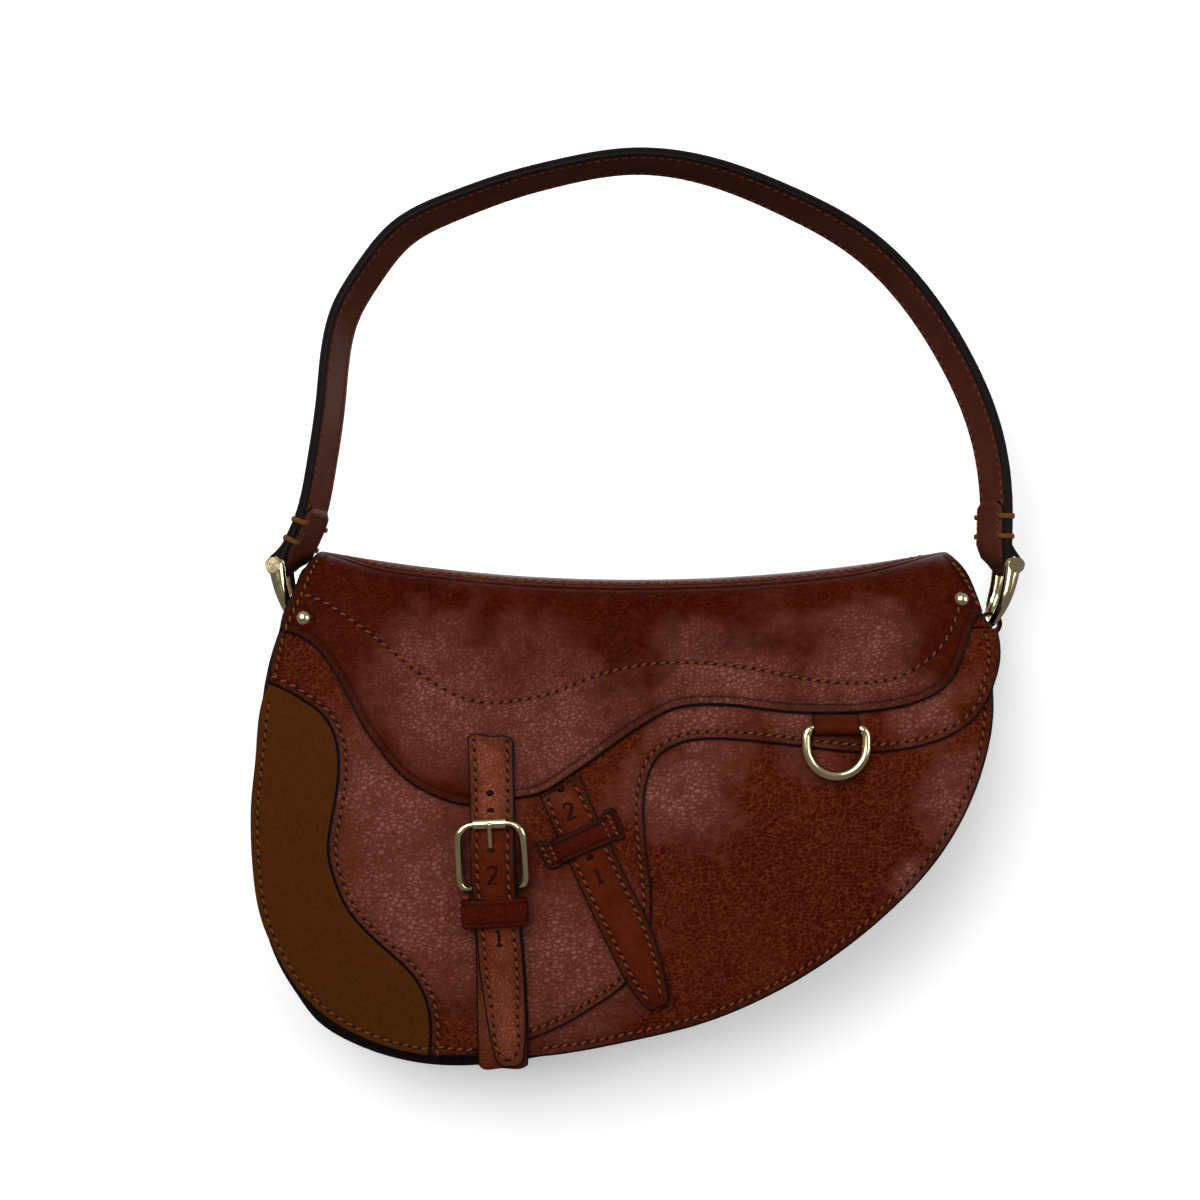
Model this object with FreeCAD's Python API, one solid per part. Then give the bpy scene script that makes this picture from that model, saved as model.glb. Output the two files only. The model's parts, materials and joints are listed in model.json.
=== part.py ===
"""A saddle handbag: rolled top, layered flap, buckled strap, and a top handle on two shackles.

Frame: +Z up, +Y to the back, the front faces -Y. The origin is the hang point, at the inner top of
the handle. Lengths are millimetres, angles are degrees.
"""
import FreeCAD, Part
import math
import os

V = FreeCAD.Vector

# Bag and flap
flap_width = 288.0
flap_height = 196.0
flap_shift_share = 0.028125
sweep_share = 0.6
hand_room = 164.2
hang_depth = 5.5
ridge_radius = 690.0
ridge_centre_x = -4.0
roll_radius = 22.0
roll_turn_deg = 172.0
front_radius = 560.0
back_overlap = 20.0
seam_deg = 108.0
hinge_drop = 18.8
hinge_proud = 1.0
fold_gap = 0.3

# Leather layers, from the inside out
lining_ply = 1.0
board_ply = 1.2
board_inset = 8.0
base_ply = 1.6
skirt_ply = 1.6
suede_ply = 1.0
seat_ply = 1.8

# Pocket behind the flap
panel_ply = 1.8
back_ply = 2.6
panel_gap = 0.5
pocket_mouth_drop = 66.0
gusset_wall = 1.8
gusset_top_drop = 24.0
pocket_lining_ply = 0.8
pocket_lining_gap = 0.15
pocket_lining_drop = 5.0
magnet_diameter = 14.0
magnet_thickness = 1.2

# Handle and shackles
pin_span_share = 1.00972
pin_above_ridge = 5.5
handle_width = 20.0
handle_ply = 1.8
handle_lining_ply = 1.6
handle_flare = 5.0
handle_return = 26.0
handle_stations = 61
pin_radius = 2.0
pin_head_height = 1.4
pin_head_radius = 3.0
pin_slot = 0.7
pin_clearance = 0.05
loop_clearance = 0.15
shackle_wire_radius = 2.1
shackle_length = 24.0
shackle_lean_deg = 13.0
shackle_side_clearance = 0.5
eye_radius = 4.0
eye_length = 4.6
tab_width = 9.0
tab_ply = 1.4
tab_clearance = 0.75
tab_drop = 26.0
tab_gap = 0.05

# Rivets
rivet_head_radius = 2.9
rivet_head_height = 1.5
rivet_shaft_radius = 1.4
rivet_clearance = 0.05
rivet_sink = 0.3
rivet_fold_gap = 0.7
burr_radius = 3.2
burr_height = 0.9

# Buckled strap
strap_lean_deg = 3.0
billet_width = 16.8
billet_ply = 1.6
billet_tip_width = 10.5
buckle_strap_width = 20.0
buckle_strap_ply = 1.2
ply_gap = 0.1
strap_seat_gap = 0.3
bar_radius = 1.1
bar_clearance = 0.05
rail_radius = 1.5
buckle_inner_width = 21.6
roller_radius = 2.2
roller_length = 12.4
roller_clearance = 0.05
roller_gap = 0.25
prong_radius = 0.9
prong_ring_wall = 0.9
prong_slot_clearance = 0.6
prong_rest_gap = 0.08
keeper_ply = 0.9
keeper_clearance = 0.25
keeper_width = 25.8
hole_radius = 1.2
billet_rise = 1.0
keeper_entry_rise = 1.5
ribbon_step = 2.4

# Slanted strap and its stitched keeper
side_strap_ply = 1.6
side_keeper_ply = 1.2
side_keeper_gap = 0.1

# D-ring
d_ring_wire_radius = 1.65
d_ring_inner_width = 20.0
d_ring_height = 21.0
d_tab_width = 17.7
d_tab_ply = 1.0
d_tab_clearance = 0.1
d_tab_seat_gap = 0.3

# Reach past the solid for every cut
overrun = 40.0

# Outline points are read in pixels of the front plane; these rows and columns tie them to the sizes
left_pixel = 250.5
right_pixel = 998.5
ridge_pixel = 578.7
corner_pixel = 549.0
bottom_pixel = 1058.0

roll_edge_left_pixels = [(311, 549), (300, 565), (288, 597), (278, 630)]
roll_edge_right_pixels = [(994.5, 628), (987, 602), (972, 566), (959, 549)]
flap_left_pixels = [
    (278, 630), (270, 658), (262, 700), (255, 760), (250.5, 835), (254, 885), (261, 920),
    (275, 953), (302, 995), (330, 1020), (375, 1043), (430, 1056),
]
flap_bottom_pixels = [
    (430, 1056), (480, 1057.5), (527, 1058), (580, 1052), (640, 1040), (700, 1025), (760, 1001),
    (820, 967), (880, 921), (940, 857), (970, 805), (986, 760), (994, 715), (993.5, 688),
]
flap_right_pixels = [(993.5, 688), (998.5, 660), (994.5, 628)]
skirt_left_pixels = [(278, 630), (273, 648), (268, 683)]
suede_border_pixels = [
    (268, 683), (295, 696), (322, 715), (336, 745), (338, 770), (331, 820), (329, 855), (340, 897),
    (365, 931), (400, 963), (424, 996), (430, 1025), (429, 1056),
]
skirt_foot_pixels = [(429, 1056), (460, 1057), (490, 1056)]
skirt_lower_pixels = [
    (490, 1056), (528, 1041), (580, 1018), (620, 989), (643, 957), (652, 905), (646, 845),
    (645, 795), (655, 762), (680, 744), (720, 740), (780, 744.5), (865, 753), (930, 744),
    (970, 723), (993.5, 688),
]
seat_lower_pixels = [
    (278, 630), (300, 637), (320, 653), (350, 703), (390, 765), (425, 793), (467, 806), (513, 800),
    (550, 789), (590, 763), (640, 728), (690, 706), (740, 707), (830, 714), (900, 708), (945, 688),
    (965, 652), (974, 622), (987, 602),
]
seat_right_pixels = [(987, 602), (972, 566), (959, 549)]
body_pixels = [
    (280, 640), (279, 680), (274, 715), (262, 760), (255, 805), (252, 850), (255, 895), (264, 935),
    (280, 970), (299, 1000), (317, 1023), (347, 1043), (388, 1059), (430, 1067), (475, 1067),
    (540, 1061), (600, 1052), (660, 1038), (720, 1019), (780, 992), (840, 954), (900, 903),
    (940, 859), (966, 814), (983, 770), (994, 730), (1003, 700), (1008, 670), (1008, 640),
]
side_strap_left_pixels = [(536, 790), (570, 865), (600, 930), (634, 995), (645, 1008)]
side_strap_tip_pixels = [(645, 1008), (656, 1009), (668, 1001)]
side_strap_right_pixels = [(668, 1001), (660, 955), (630, 885), (596, 816), (574, 760)]
side_keeper_pixels = [(537, 845), (615, 810), (626, 837), (548, 868)]
side_hole_pixels = [(562, 790), (590, 858)]
rivet_pixels = {"left": (301.5, 618), "right": (965, 598)}
d_bar_pixel = (836, 728)
d_tab_top_pixel = 716
magnet_pixel = (600, 829)
strap_centre_pixel = (493, 872)
billet_top_row = 735
billet_tip_row = 1066
billet_taper_row = 940
seat_edge_row = 806
roller_row = 822
bar_row = 886
keeper_row = 911
keeper_rows = 28
keeper_entry_row = 903
keeper_low_row = 955
billet_low_row = 985
billet_tip_rows = 12
fold_row = 1060
slot_top_row = 846
slot_bottom_row = 884
billet_hole_rows = [793, 812]

# The handle's outer line: shares of half the span between the pins, and of the rise from pins to top
handle_line_shares = [
    (-0.984, 0.050), (-0.940, 0.122), (-0.910, 0.231), (-0.891, 0.399), (-0.877, 0.520),
    (-0.849, 0.619), (-0.779, 0.725), (-0.683, 0.824), (-0.522, 0.896), (-0.383, 0.939),
    (-0.243, 0.971), (-0.033, 1.000), (0.210, 0.971), (0.399, 0.908), (0.609, 0.807),
    (0.748, 0.691), (0.874, 0.527), (0.964, 0.344), (1.008, 0.158), (1.006, 0.050),
]

# Places worked out from the sizes
layer_base = lining_ply + board_ply
layer_skirt = layer_base + base_ply
layer_seat = layer_skirt + skirt_ply
layer_top = layer_seat + seat_ply
ridge_z = -hand_room
roll_centre_z = ridge_z - roll_radius - layer_top
axis_z = ridge_z + ridge_radius
roll_y = hang_depth
back_y = roll_y + roll_radius + layer_top
hinge_z = ridge_z - hinge_drop
hinge_y = roll_y - roll_radius - layer_top - hinge_proud
pin_z = ridge_z + pin_above_ridge
pin_x = flap_width * pin_span_share / 2
flap_left = -flap_width * (flap_shift_share + 1 / 2)
across = flap_width / (right_pixel - left_pixel)
down = flap_height / (bottom_pixel - corner_pixel)
turn = math.radians(roll_turn_deg)
front_centre_y = roll_y - (front_radius - roll_radius) * math.cos(turn)
front_centre_z = roll_centre_z - (front_radius - roll_radius) * math.sin(turn)
low_z = ridge_z - flap_height - overrun
pocket_mouth_z = ridge_z - pocket_mouth_drop
gusset_top_z = ridge_z - gusset_top_drop
back_foot_z = roll_centre_z - back_overlap
bow_radius = handle_width / 2 + shackle_side_clearance + shackle_wire_radius
lean = math.radians(shackle_lean_deg)
bow_x = pin_x - shackle_length * math.sin(lean)
bow_z = pin_z - shackle_length * math.cos(lean)
shackle_leg = shackle_length - bow_radius
swing_z = pin_z - shackle_leg * math.cos(lean)


def row_z(row):
    """Height of a pixel row."""
    return ridge_z - (row - ridge_pixel) * down


def column_x(column):
    """Place across of a pixel column."""
    return flap_left + (column - left_pixel) * across


def spot(pixel):
    """A pixel's place on the plane y = 0."""
    return V(column_x(pixel[0]), 0, row_z(pixel[1]))


def lift(x, z):
    """How far the curved ridge raises the section at this place above the section at mid-width."""
    return math.hypot(x - ridge_centre_x, axis_z - z) - (axis_z - z)


def roll_point(offset, degrees):
    """A point on the roll, turning from the back (0) over the top to the front."""
    radius = roll_radius + offset
    angle = math.radians(degrees)
    return V(ridge_centre_x, roll_y + radius * math.cos(angle), roll_centre_z + radius * math.sin(angle))


def front_y(offset, z):
    """Depth of the bulging front at a height of the middle section."""
    return front_centre_y - math.sqrt((front_radius + offset) ** 2 - (z - front_centre_z) ** 2)


def front_point(offset, z):
    return V(ridge_centre_x, front_y(offset, z), z)


def surface_y(offset, x, z):
    """Depth of the bulging front anywhere across the bag."""
    return front_y(offset, z - lift(x, z))


def arc(a, b, c):
    return Part.Arc(a, b, c).toShape()


def section_edges(offset, start_deg, bottom_z):
    """Roll arc and front arc of one offset, from the start angle to the bottom."""
    tangent = roll_point(offset, roll_turn_deg)
    middle_z = (tangent.z + bottom_z) / 2
    middle_deg = (start_deg + roll_turn_deg) / 2
    roll = arc(roll_point(offset, start_deg), roll_point(offset, middle_deg), tangent)
    front = arc(tangent, front_point(offset, middle_z), front_point(offset, bottom_z))
    return [roll, front]


def swept(face):
    """Carry a middle section round the ridge's axis, so that the roll dips between its ends."""
    half = math.degrees(math.asin(flap_width * sweep_share / ridge_radius))
    axis = V(ridge_centre_x, 0, axis_z)
    turned = face.copy()
    turned.rotate(axis, V(0, 1, 0), -half)
    return turned.revolve(axis, V(0, 1, 0), 2 * half)


def band(inner, outer, start_deg=0.0, back_z=None, bottom_z=None):
    """A leather layer between two offsets, with a straight run down the back where back_z is given."""
    bottom = low_z if bottom_z is None else bottom_z
    edges = section_edges(outer, start_deg, bottom)
    edges.append(Part.makeLine(front_point(outer, bottom), front_point(inner, bottom)))
    edges += section_edges(inner, start_deg, bottom)
    start = [roll_point(inner, start_deg), roll_point(outer, start_deg)]
    if back_z is not None:
        foot = [V(p.x, p.y, back_z) for p in start]
        edges.append(Part.makeLine(start[0], foot[0]))
        edges.append(Part.makeLine(start[1], foot[1]))
        start = foot
    edges.append(Part.makeLine(start[0], start[1]))
    wire = Part.Wire(Part.__sortEdges__(edges))
    return swept(Part.Face(wire))


def front_band(inner, outer, top_z):
    """A layer on the front only, from a height of the middle section downwards."""
    middle_z = (top_z + low_z) / 2
    edges = [
        arc(front_point(outer, top_z), front_point(outer, middle_z), front_point(outer, low_z)),
        Part.makeLine(front_point(outer, low_z), front_point(inner, low_z)),
        arc(front_point(inner, low_z), front_point(inner, middle_z), front_point(inner, top_z)),
        Part.makeLine(front_point(inner, top_z), front_point(outer, top_z)),
    ]
    return swept(Part.Face(Part.Wire(edges)))


def pocket_space(offset, back):
    """The room behind the flap: inside the roll, behind the front offset and before the back depth."""
    inner_y = roll_y + roll_radius + offset
    edges = section_edges(offset, 0.0, low_z)
    corners = [
        V(ridge_centre_x, inner_y, roll_centre_z),
        V(ridge_centre_x, inner_y, back_foot_z),
        V(ridge_centre_x, back, back_foot_z),
        V(ridge_centre_x, back, low_z),
        front_point(offset, low_z),
    ]
    edges += [Part.makeLine(a, b) for a, b in zip(corners, corners[1:])]
    return swept(Part.Face(Part.Wire(Part.__sortEdges__(edges))))


def smooth(points):
    """One smooth edge through the points, or a line through two."""
    if len(points) == 2:
        return Part.makeLine(points[0], points[1])
    curve = Part.BSplineCurve()
    curve.interpolate(points)
    return curve.toShape()


def prism(edges):
    """A closed outline in X and Z, carried through the whole depth."""
    face = Part.Face(Part.Wire(Part.__sortEdges__(edges)))
    face.translate(V(0, -back_y - overrun, 0))
    return face.extrude(V(0, 2 * (back_y + overrun), 0))


def runs_prism(runs):
    """A prism from outline runs that follow each other, closed by straight lines."""
    points = [[spot(p) for p in run] for run in runs]
    edges = [smooth(run) for run in points]
    ends = [(points[i][-1], points[(i + 1) % len(points)][0]) for i in range(len(points))]
    edges += [Part.makeLine(a, b) for a, b in ends if a.distanceToPoint(b) > fold_gap]
    return prism(edges)


def over_top(run_end, run_start):
    """Two pixels above the ridge that close an outline over the top."""
    row = corner_pixel - overrun / down
    return [(run_end[0], row), (run_start[0], row)]


def inset(points, distance):
    """Move a run of points square to itself, to its left as it runs."""
    moved = []
    for i, point in enumerate(points):
        before = points[max(i - 1, 0)]
        after = points[min(i + 1, len(points) - 1)]
        along = (after - before).normalize()
        moved.append(point + V(-along.z, 0, along.x) * distance)
    return moved


def run_prism(points):
    """A prism from one run of points, closed over the top by lines."""
    top = ridge_z + overrun
    first = V(points[0].x, 0, top)
    last = V(points[-1].x, 0, top)
    edges = [smooth(points), Part.makeLine(points[-1], last), Part.makeLine(last, first)]
    edges.append(Part.makeLine(first, points[0]))
    return prism(edges)


def slab(bottom, top):
    """Everything between two heights."""
    width = flap_width + overrun
    depth = back_y + overrun
    return Part.makeBox(2 * width, 2 * depth, top - bottom, V(-width, -depth, bottom))


above_fold = slab(hinge_z, ridge_z + overrun)
below_fold = slab(low_z - overrun, hinge_z - fold_gap)
half_depth = back_y + overrun
front_half = Part.makeBox(
    4 * flap_width, half_depth, 2 * (flap_height + overrun) + hand_room,
    V(-2 * flap_width, roll_y - half_depth, low_z - overrun),
)
back_half = front_half.copy()
back_half.translate(V(0, half_depth, 0))
above_fold_or_back = above_fold.fuse(back_half).removeSplitter()
below_fold_board = slab(low_z - overrun, hinge_z - fold_gap - board_inset)

top_left = roll_edge_left_pixels[0]
top_right = roll_edge_right_pixels[-1]
roof = over_top(top_right, top_left)
foot_row = ridge_pixel + (back_overlap + roll_radius + layer_top + overrun) / down
roll_sides = [(roll_edge_left_pixels[-1][0], foot_row), (roll_edge_right_pixels[0][0], foot_row)]
roll_prism = runs_prism([roll_edge_left_pixels, roll_sides, roll_edge_right_pixels, roof])
base_prism = runs_prism([
    roll_edge_left_pixels, flap_left_pixels, flap_bottom_pixels, flap_right_pixels,
    roll_edge_right_pixels, roof,
])
skirt_prism = runs_prism([
    roll_edge_left_pixels, skirt_left_pixels, suede_border_pixels, skirt_foot_pixels, skirt_lower_pixels,
    flap_right_pixels, roll_edge_right_pixels, roof,
])
seat_prism = runs_prism([roll_edge_left_pixels, seat_lower_pixels, seat_right_pixels, roof])
far_left = left_pixel - overrun / across
far_low = bottom_pixel + overrun / down
border_top = suede_border_pixels[0]
border_foot = suede_border_pixels[-1]
suede_prism = runs_prism([
    suede_border_pixels,
    [(border_foot[0], far_low), (far_left, far_low)],
    [(far_left, border_top[1]), border_top],
])
board_run = [spot(p) for p in flap_left_pixels + flap_bottom_pixels[1:] + flap_right_pixels[1:]]
board_prism = run_prism(inset(board_run, board_inset))
body_run = [spot(p) for p in body_pixels]


def body_prism(distance):
    return run_prism(inset(body_run, distance) if distance else body_run)


# Levels of the buckled strap over the inner skin, row by row
strap_x = column_x(strap_centre_pixel[0])
strap_pivot = V(strap_x, 0, row_z(strap_centre_pixel[1]))
main_ply_level = layer_seat + 2 * keeper_clearance + keeper_ply
bar_level = main_ply_level + buckle_strap_ply + bar_clearance + bar_radius
loop_radius = bar_radius + bar_clearance + buckle_strap_ply
billet_over_bar = bar_level + loop_radius + ply_gap
roller_level = layer_top + billet_rise + billet_ply + roller_gap + roller_radius
keeper_top_row = keeper_row - keeper_rows / 2
main_levels = [(keeper_low_row, main_ply_level), (billet_low_row, layer_seat + strap_seat_gap)]
billet_levels = [
    (seat_edge_row, layer_top + ply_gap),
    (roller_row, layer_top + billet_rise),
    (bar_row, billet_over_bar),
    (keeper_entry_row, main_ply_level + buckle_strap_ply + keeper_entry_rise),
    (keeper_low_row, main_ply_level + buckle_strap_ply + 2 * ply_gap),
    (billet_low_row, layer_seat + strap_seat_gap + buckle_strap_ply + 2 * ply_gap),
]

parts = {}
places = {"flap_fold": V(0, hinge_y, hinge_z), "bag_swing": V(0, 0, swing_z)}


def round_disc(inner, outer, pixel, radius):
    """A disc that follows the front between two offsets."""
    place = spot(pixel)
    start = V(place.x, -half_depth, place.z)
    rod = Part.makeCylinder(radius, 2 * half_depth, start, V(0, 1, 0))
    return front_band(inner, outer, place.z + 2 * radius).common(rod)


def make_flap_layers():
    """The flap's plies below the fold, and the fixed plies over the top roll."""
    lining = band(0, lining_ply, 0.0, back_foot_z)
    parts["roll_lining"] = lining.common(roll_prism).common(above_fold_or_back)
    parts["flap_lining"] = lining.common(base_prism).common(front_half).common(below_fold)
    board = band(lining_ply, layer_base).common(board_prism)
    board = board.common(front_half).common(below_fold_board)
    magnet = round_disc(lining_ply, layer_base, magnet_pixel, magnet_diameter / 2)
    parts["flap_board"] = board.cut(magnet)
    parts["flap_magnet"] = magnet
    base = band(lining_ply, layer_skirt).common(base_prism).common(front_half).common(below_fold)
    parts["flap_base"] = base.cut(board)
    suede = band(layer_skirt, layer_skirt + suede_ply).common(base_prism).common(suede_prism)
    parts["suede_panel"] = suede.common(front_half).common(below_fold)
    skirt = band(layer_skirt, layer_seat).common(skirt_prism)
    parts["skirt"] = skirt.common(front_half).common(below_fold)
    roll = band(lining_ply, layer_seat, 0.0, back_foot_z).common(roll_prism)
    parts["roll_board"] = roll.common(above_fold_or_back)
    seat = band(layer_seat, layer_top, seam_deg).common(seat_prism)
    parts["seat"] = seat.common(below_fold)
    parts["seat_roll"] = seat.common(above_fold)
    strip = band(layer_seat, layer_top, 0.0, back_foot_z).common(roll_prism)
    behind_seam = strip.cut(band(layer_seat, layer_top, seam_deg))
    parts["back_strip"] = behind_seam.common(above_fold_or_back)


def make_pocket():
    """Front panel, gusset, back panel and the lining bag inside them."""
    panel_back = -panel_gap - panel_ply
    mouth = slab(low_z - overrun, pocket_mouth_z)
    panel = band(panel_back, -panel_gap).common(body_prism(0)).common(front_half).common(mouth)
    middle = (panel_ply - magnet_thickness) / 2
    magnet = round_disc(panel_back + middle, -panel_gap - middle, magnet_pixel, magnet_diameter / 2)
    parts["front_panel"] = panel.cut(magnet)
    parts["panel_magnet"] = magnet
    back_inner = back_y - back_ply
    wall = pocket_space(panel_back, back_inner).common(body_prism(0).cut(body_prism(gusset_wall)))
    parts["gusset"] = wall.common(slab(low_z - overrun, gusset_top_z))
    sheet = swept(Part.Face(Part.makePolygon([
        V(ridge_centre_x, back_inner, back_foot_z), V(ridge_centre_x, back_y, back_foot_z),
        V(ridge_centre_x, back_y, low_z), V(ridge_centre_x, back_inner, low_z),
        V(ridge_centre_x, back_inner, back_foot_z),
    ])))
    parts["back_panel"] = sheet.common(body_prism(0))
    skin = pocket_lining_gap
    outer = pocket_space(panel_back - skin, back_inner - skin).common(body_prism(gusset_wall + skin))
    skin += pocket_lining_ply
    inner = pocket_space(panel_back - skin, back_inner - skin).common(body_prism(gusset_wall + skin))
    parts["pocket_lining"] = outer.cut(inner).common(slab(low_z, pocket_mouth_z - pocket_lining_drop))


def stood(shape, base, direction):
    """Stand a shape made along +Z at the origin on a base point, along a direction."""
    placed = shape.copy()
    placed.Placement = FreeCAD.Placement(base, FreeCAD.Rotation(V(0, 0, 1), direction))
    return placed


def make_rivets():
    """Dome rivets through the roll near each end, with burrs on the inside."""
    dome_radius = (rivet_head_radius ** 2 + rivet_head_height ** 2) / (2 * rivet_head_height)
    ball = Part.makeSphere(dome_radius, V(0, 0, rivet_head_height - dome_radius))
    dome = ball.common(Part.makeCylinder(rivet_head_radius, rivet_head_height))
    shaft_length = layer_top + burr_height + rivet_sink
    shaft = Part.makeCylinder(rivet_shaft_radius, shaft_length, V(0, 0, -shaft_length))
    rivet = dome.fuse(shaft).removeSplitter()
    bore_radius = rivet_shaft_radius + rivet_clearance
    bore = Part.makeCylinder(bore_radius, 3 * shaft_length, V(0, 0, -2 * shaft_length))
    seat_flat = Part.makeCylinder(rivet_head_radius + rivet_clearance, overrun)
    burr = Part.makeCylinder(burr_radius, burr_height, V(0, 0, -shaft_length)).cut(bore)
    for side, pixel in rivet_pixels.items():
        place = spot(pixel)
        place.z = max(place.z, hinge_z + rivet_head_radius + rivet_fold_gap)
        reach = roll_radius + layer_top
        rise = place.z - lift(place.x, place.z) - roll_centre_z
        angle = math.asin(rise / reach)
        out = V(0, -math.cos(angle), math.sin(angle))
        seat_point = V(place.x, roll_y + out.y * (reach - rivet_sink), place.z - out.z * rivet_sink)
        parts["rivet_" + side] = stood(rivet, seat_point, out)
        parts["rivet_burr_" + side] = stood(burr, seat_point, out)
        for node in ["seat_roll", "roll_board", "roll_lining"]:
            parts[node] = parts[node].cut(stood(bore, seat_point, out))
        parts["seat_roll"] = parts["seat_roll"].cut(stood(seat_flat, seat_point, out))


def handle_line():
    """Evenly spaced points along the handle's outer line, with their inward directions."""
    rise = handle_ply + handle_lining_ply + handle_flare / 2 - pin_z
    curve = Part.BSplineCurve()
    curve.interpolate([V(x * pin_x, 0, pin_z + z * rise) for x, z in handle_line_shares])
    points = curve.discretize(handle_stations)
    inward = []
    for i, point in enumerate(points):
        along = (points[min(i + 1, len(points) - 1)] - points[max(i - 1, 0)]).normalize()
        inward.append(V(along.z, 0, -along.x))
    return points, inward


def handle_slice(first, last, depth_in, depth_out):
    """One ply of the handle between two stations, flared so that its far edge stands lower."""
    points, inward = handle_line()
    wires = []
    for side in (-1, 1):
        outer = []
        inner = []
        for i in range(first, last + 1):
            swell = math.sin(math.pi * i / (len(points) - 1)) if side > 0 else 0
            start = points[i] + V(0, side * handle_width / 2, 0) + inward[i] * handle_flare * swell
            outer.append(start + inward[i] * depth_out)
            inner.append(start + inward[i] * depth_in)
        edges = [smooth(outer), Part.makeLine(outer[-1], inner[-1])]
        edges += [smooth(inner[::-1]), Part.makeLine(inner[0], outer[0])]
        wires.append(Part.Wire(edges))
    return Part.makeLoft(wires, True, True)


def make_handle():
    """Two plies: the outer one folds round each pin and returns a little way inside the arch."""
    thickness = handle_ply + handle_lining_ply
    points, inward = handle_line()
    length = sum(points[i].distanceToPoint(points[i + 1]) for i in range(len(points) - 1))
    last = len(points) - 1
    reach = round(last * handle_return / length)
    strap = handle_slice(0, last, handle_ply, 0)
    strap = strap.fuse(handle_slice(0, reach, thickness, handle_ply))
    strap = strap.fuse(handle_slice(last - reach, last, thickness, handle_ply))
    for side, end in ((-1, 0), (1, last)):
        pin = V(side * pin_x, 0, pin_z)
        outer = points[end]
        inner = outer + inward[end] * thickness
        ring_radius = pin_radius + loop_clearance + handle_ply
        toward = (pin - (outer + inner) / 2).normalize()
        square = V(-toward.z, 0, toward.x) * ring_radius
        if (outer - inner).dot(square) < 0:
            square = -square
        half = V(0, -handle_width / 2, 0)
        corners = [outer, pin + square, pin - square, inner, outer]
        cheek = Part.Face(Part.makePolygon([corner + half for corner in corners]))
        wedge = cheek.extrude(V(0, handle_width, 0))
        ring = Part.makeCylinder(ring_radius, handle_width, pin + half, V(0, 1, 0))
        bore_radius = pin_radius + loop_clearance
        bore = Part.makeCylinder(bore_radius, 2 * handle_width, pin + half * 2, V(0, 1, 0))
        strap = strap.fuse(wedge).fuse(ring).cut(bore)
    parts["handle_strap"] = strap.removeSplitter()
    parts["handle_lining"] = handle_slice(reach, last - reach, thickness, handle_ply)


def make_shackles():
    """A bent bow with two eyes, and a screw pin through them, at each end of the handle."""
    arch = Part.makeTorus(bow_radius, shackle_wire_radius, V(0, 0, -shackle_leg), V(1, 0, 0))
    lower = Part.makeBox(2 * overrun, 2 * overrun, overrun, V(-overrun, -overrun, -shackle_leg - overrun))
    bow = arch.common(lower)
    reach = bow_radius + eye_length / 2
    for y in (-bow_radius, bow_radius):
        leg = Part.makeCylinder(shackle_wire_radius, shackle_leg, V(0, y, -shackle_leg))
        eye = Part.makeCylinder(eye_radius, eye_length, V(0, y - eye_length / 2, 0), V(0, 1, 0))
        bow = bow.fuse(leg).fuse(eye)
    bore_radius = pin_radius + pin_clearance
    bow = bow.cut(Part.makeCylinder(bore_radius, 4 * reach, V(0, -2 * reach, 0), V(0, 1, 0)))
    pin = Part.makeCylinder(pin_radius, 2 * reach, V(0, -reach, 0), V(0, 1, 0))
    head_start = V(0, -reach - pin_head_height, 0)
    head = Part.makeCylinder(pin_head_radius, pin_head_height, head_start, V(0, 1, 0))
    slot = Part.makeBox(2 * pin_head_radius, pin_slot, pin_slot,
                        V(-pin_head_radius, -reach - pin_head_height, -pin_slot / 2))
    pin = pin.fuse(head).cut(slot)
    for side, name in ((-1, "left"), (1, "right")):
        for node, shape in (("shackle_", bow), ("shackle_pin_", pin)):
            placed = shape.copy()
            placed.rotate(V(0, 0, 0), V(0, 1, 0), side * shackle_lean_deg)
            placed.translate(V(side * pin_x, 0, pin_z))
            parts[node + name] = placed


def make_side_tabs():
    """Folded leather tabs that hold the bows and straddle the gusset's upper ends."""
    sag = (tab_width / 2) ** 2 / (2 * bow_radius)
    bore_radius = shackle_wire_radius + sag / 2 + tab_clearance
    half = V(0, -tab_width / 2, 0)
    walls = {"left": body_run[0].x + gusset_wall / 2, "right": body_run[-1].x - gusset_wall / 2}
    for side, name in ((-1, "left"), (1, "right")):
        centre = V(side * bow_x, 0, bow_z + sag / 2)
        ring = Part.makeCylinder(bore_radius + tab_ply, tab_width, centre + half, V(0, 1, 0))
        wide = gusset_wall + 2 * (tab_gap + tab_ply)
        foot_z = gusset_top_z - tab_drop
        corner = V(walls[name] - wide / 2, -tab_width / 2, foot_z)
        plies = Part.makeBox(wide, tab_width, centre.z - foot_z, corner)
        slot_wide = gusset_wall + 2 * tab_gap
        slot = Part.makeBox(slot_wide, 2 * tab_width, gusset_top_z + tab_gap - foot_z,
                            V(walls[name] - slot_wide / 2, -tab_width, foot_z))
        bore = Part.makeCylinder(bore_radius, 2 * tab_width, centre + half * 2, V(0, 1, 0))
        tab = ring.fuse(plies).cut(slot).cut(bore).cut(parts["gusset"])
        parts["side_tab_" + name] = max(tab.Solids, key=lambda solid: solid.Volume)


def level_at(levels, row):
    """Height above the bag's inner skin at a row, easing smoothly between the given levels."""
    if row <= levels[0][0]:
        return levels[0][1]
    for (row_a, level_a), (row_b, level_b) in zip(levels, levels[1:]):
        if row <= row_b:
            share = (row - row_a) / (row_b - row_a)
            return level_a + (level_b - level_a) * share * share * (3 - 2 * share)
    return levels[-1][1]


def skin_point(x, row, offset):
    """A point over the front at a row and an offset, for straps that follow the flap."""
    z = row_z(row)
    return V(x, surface_y(offset, x, z), z)


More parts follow.
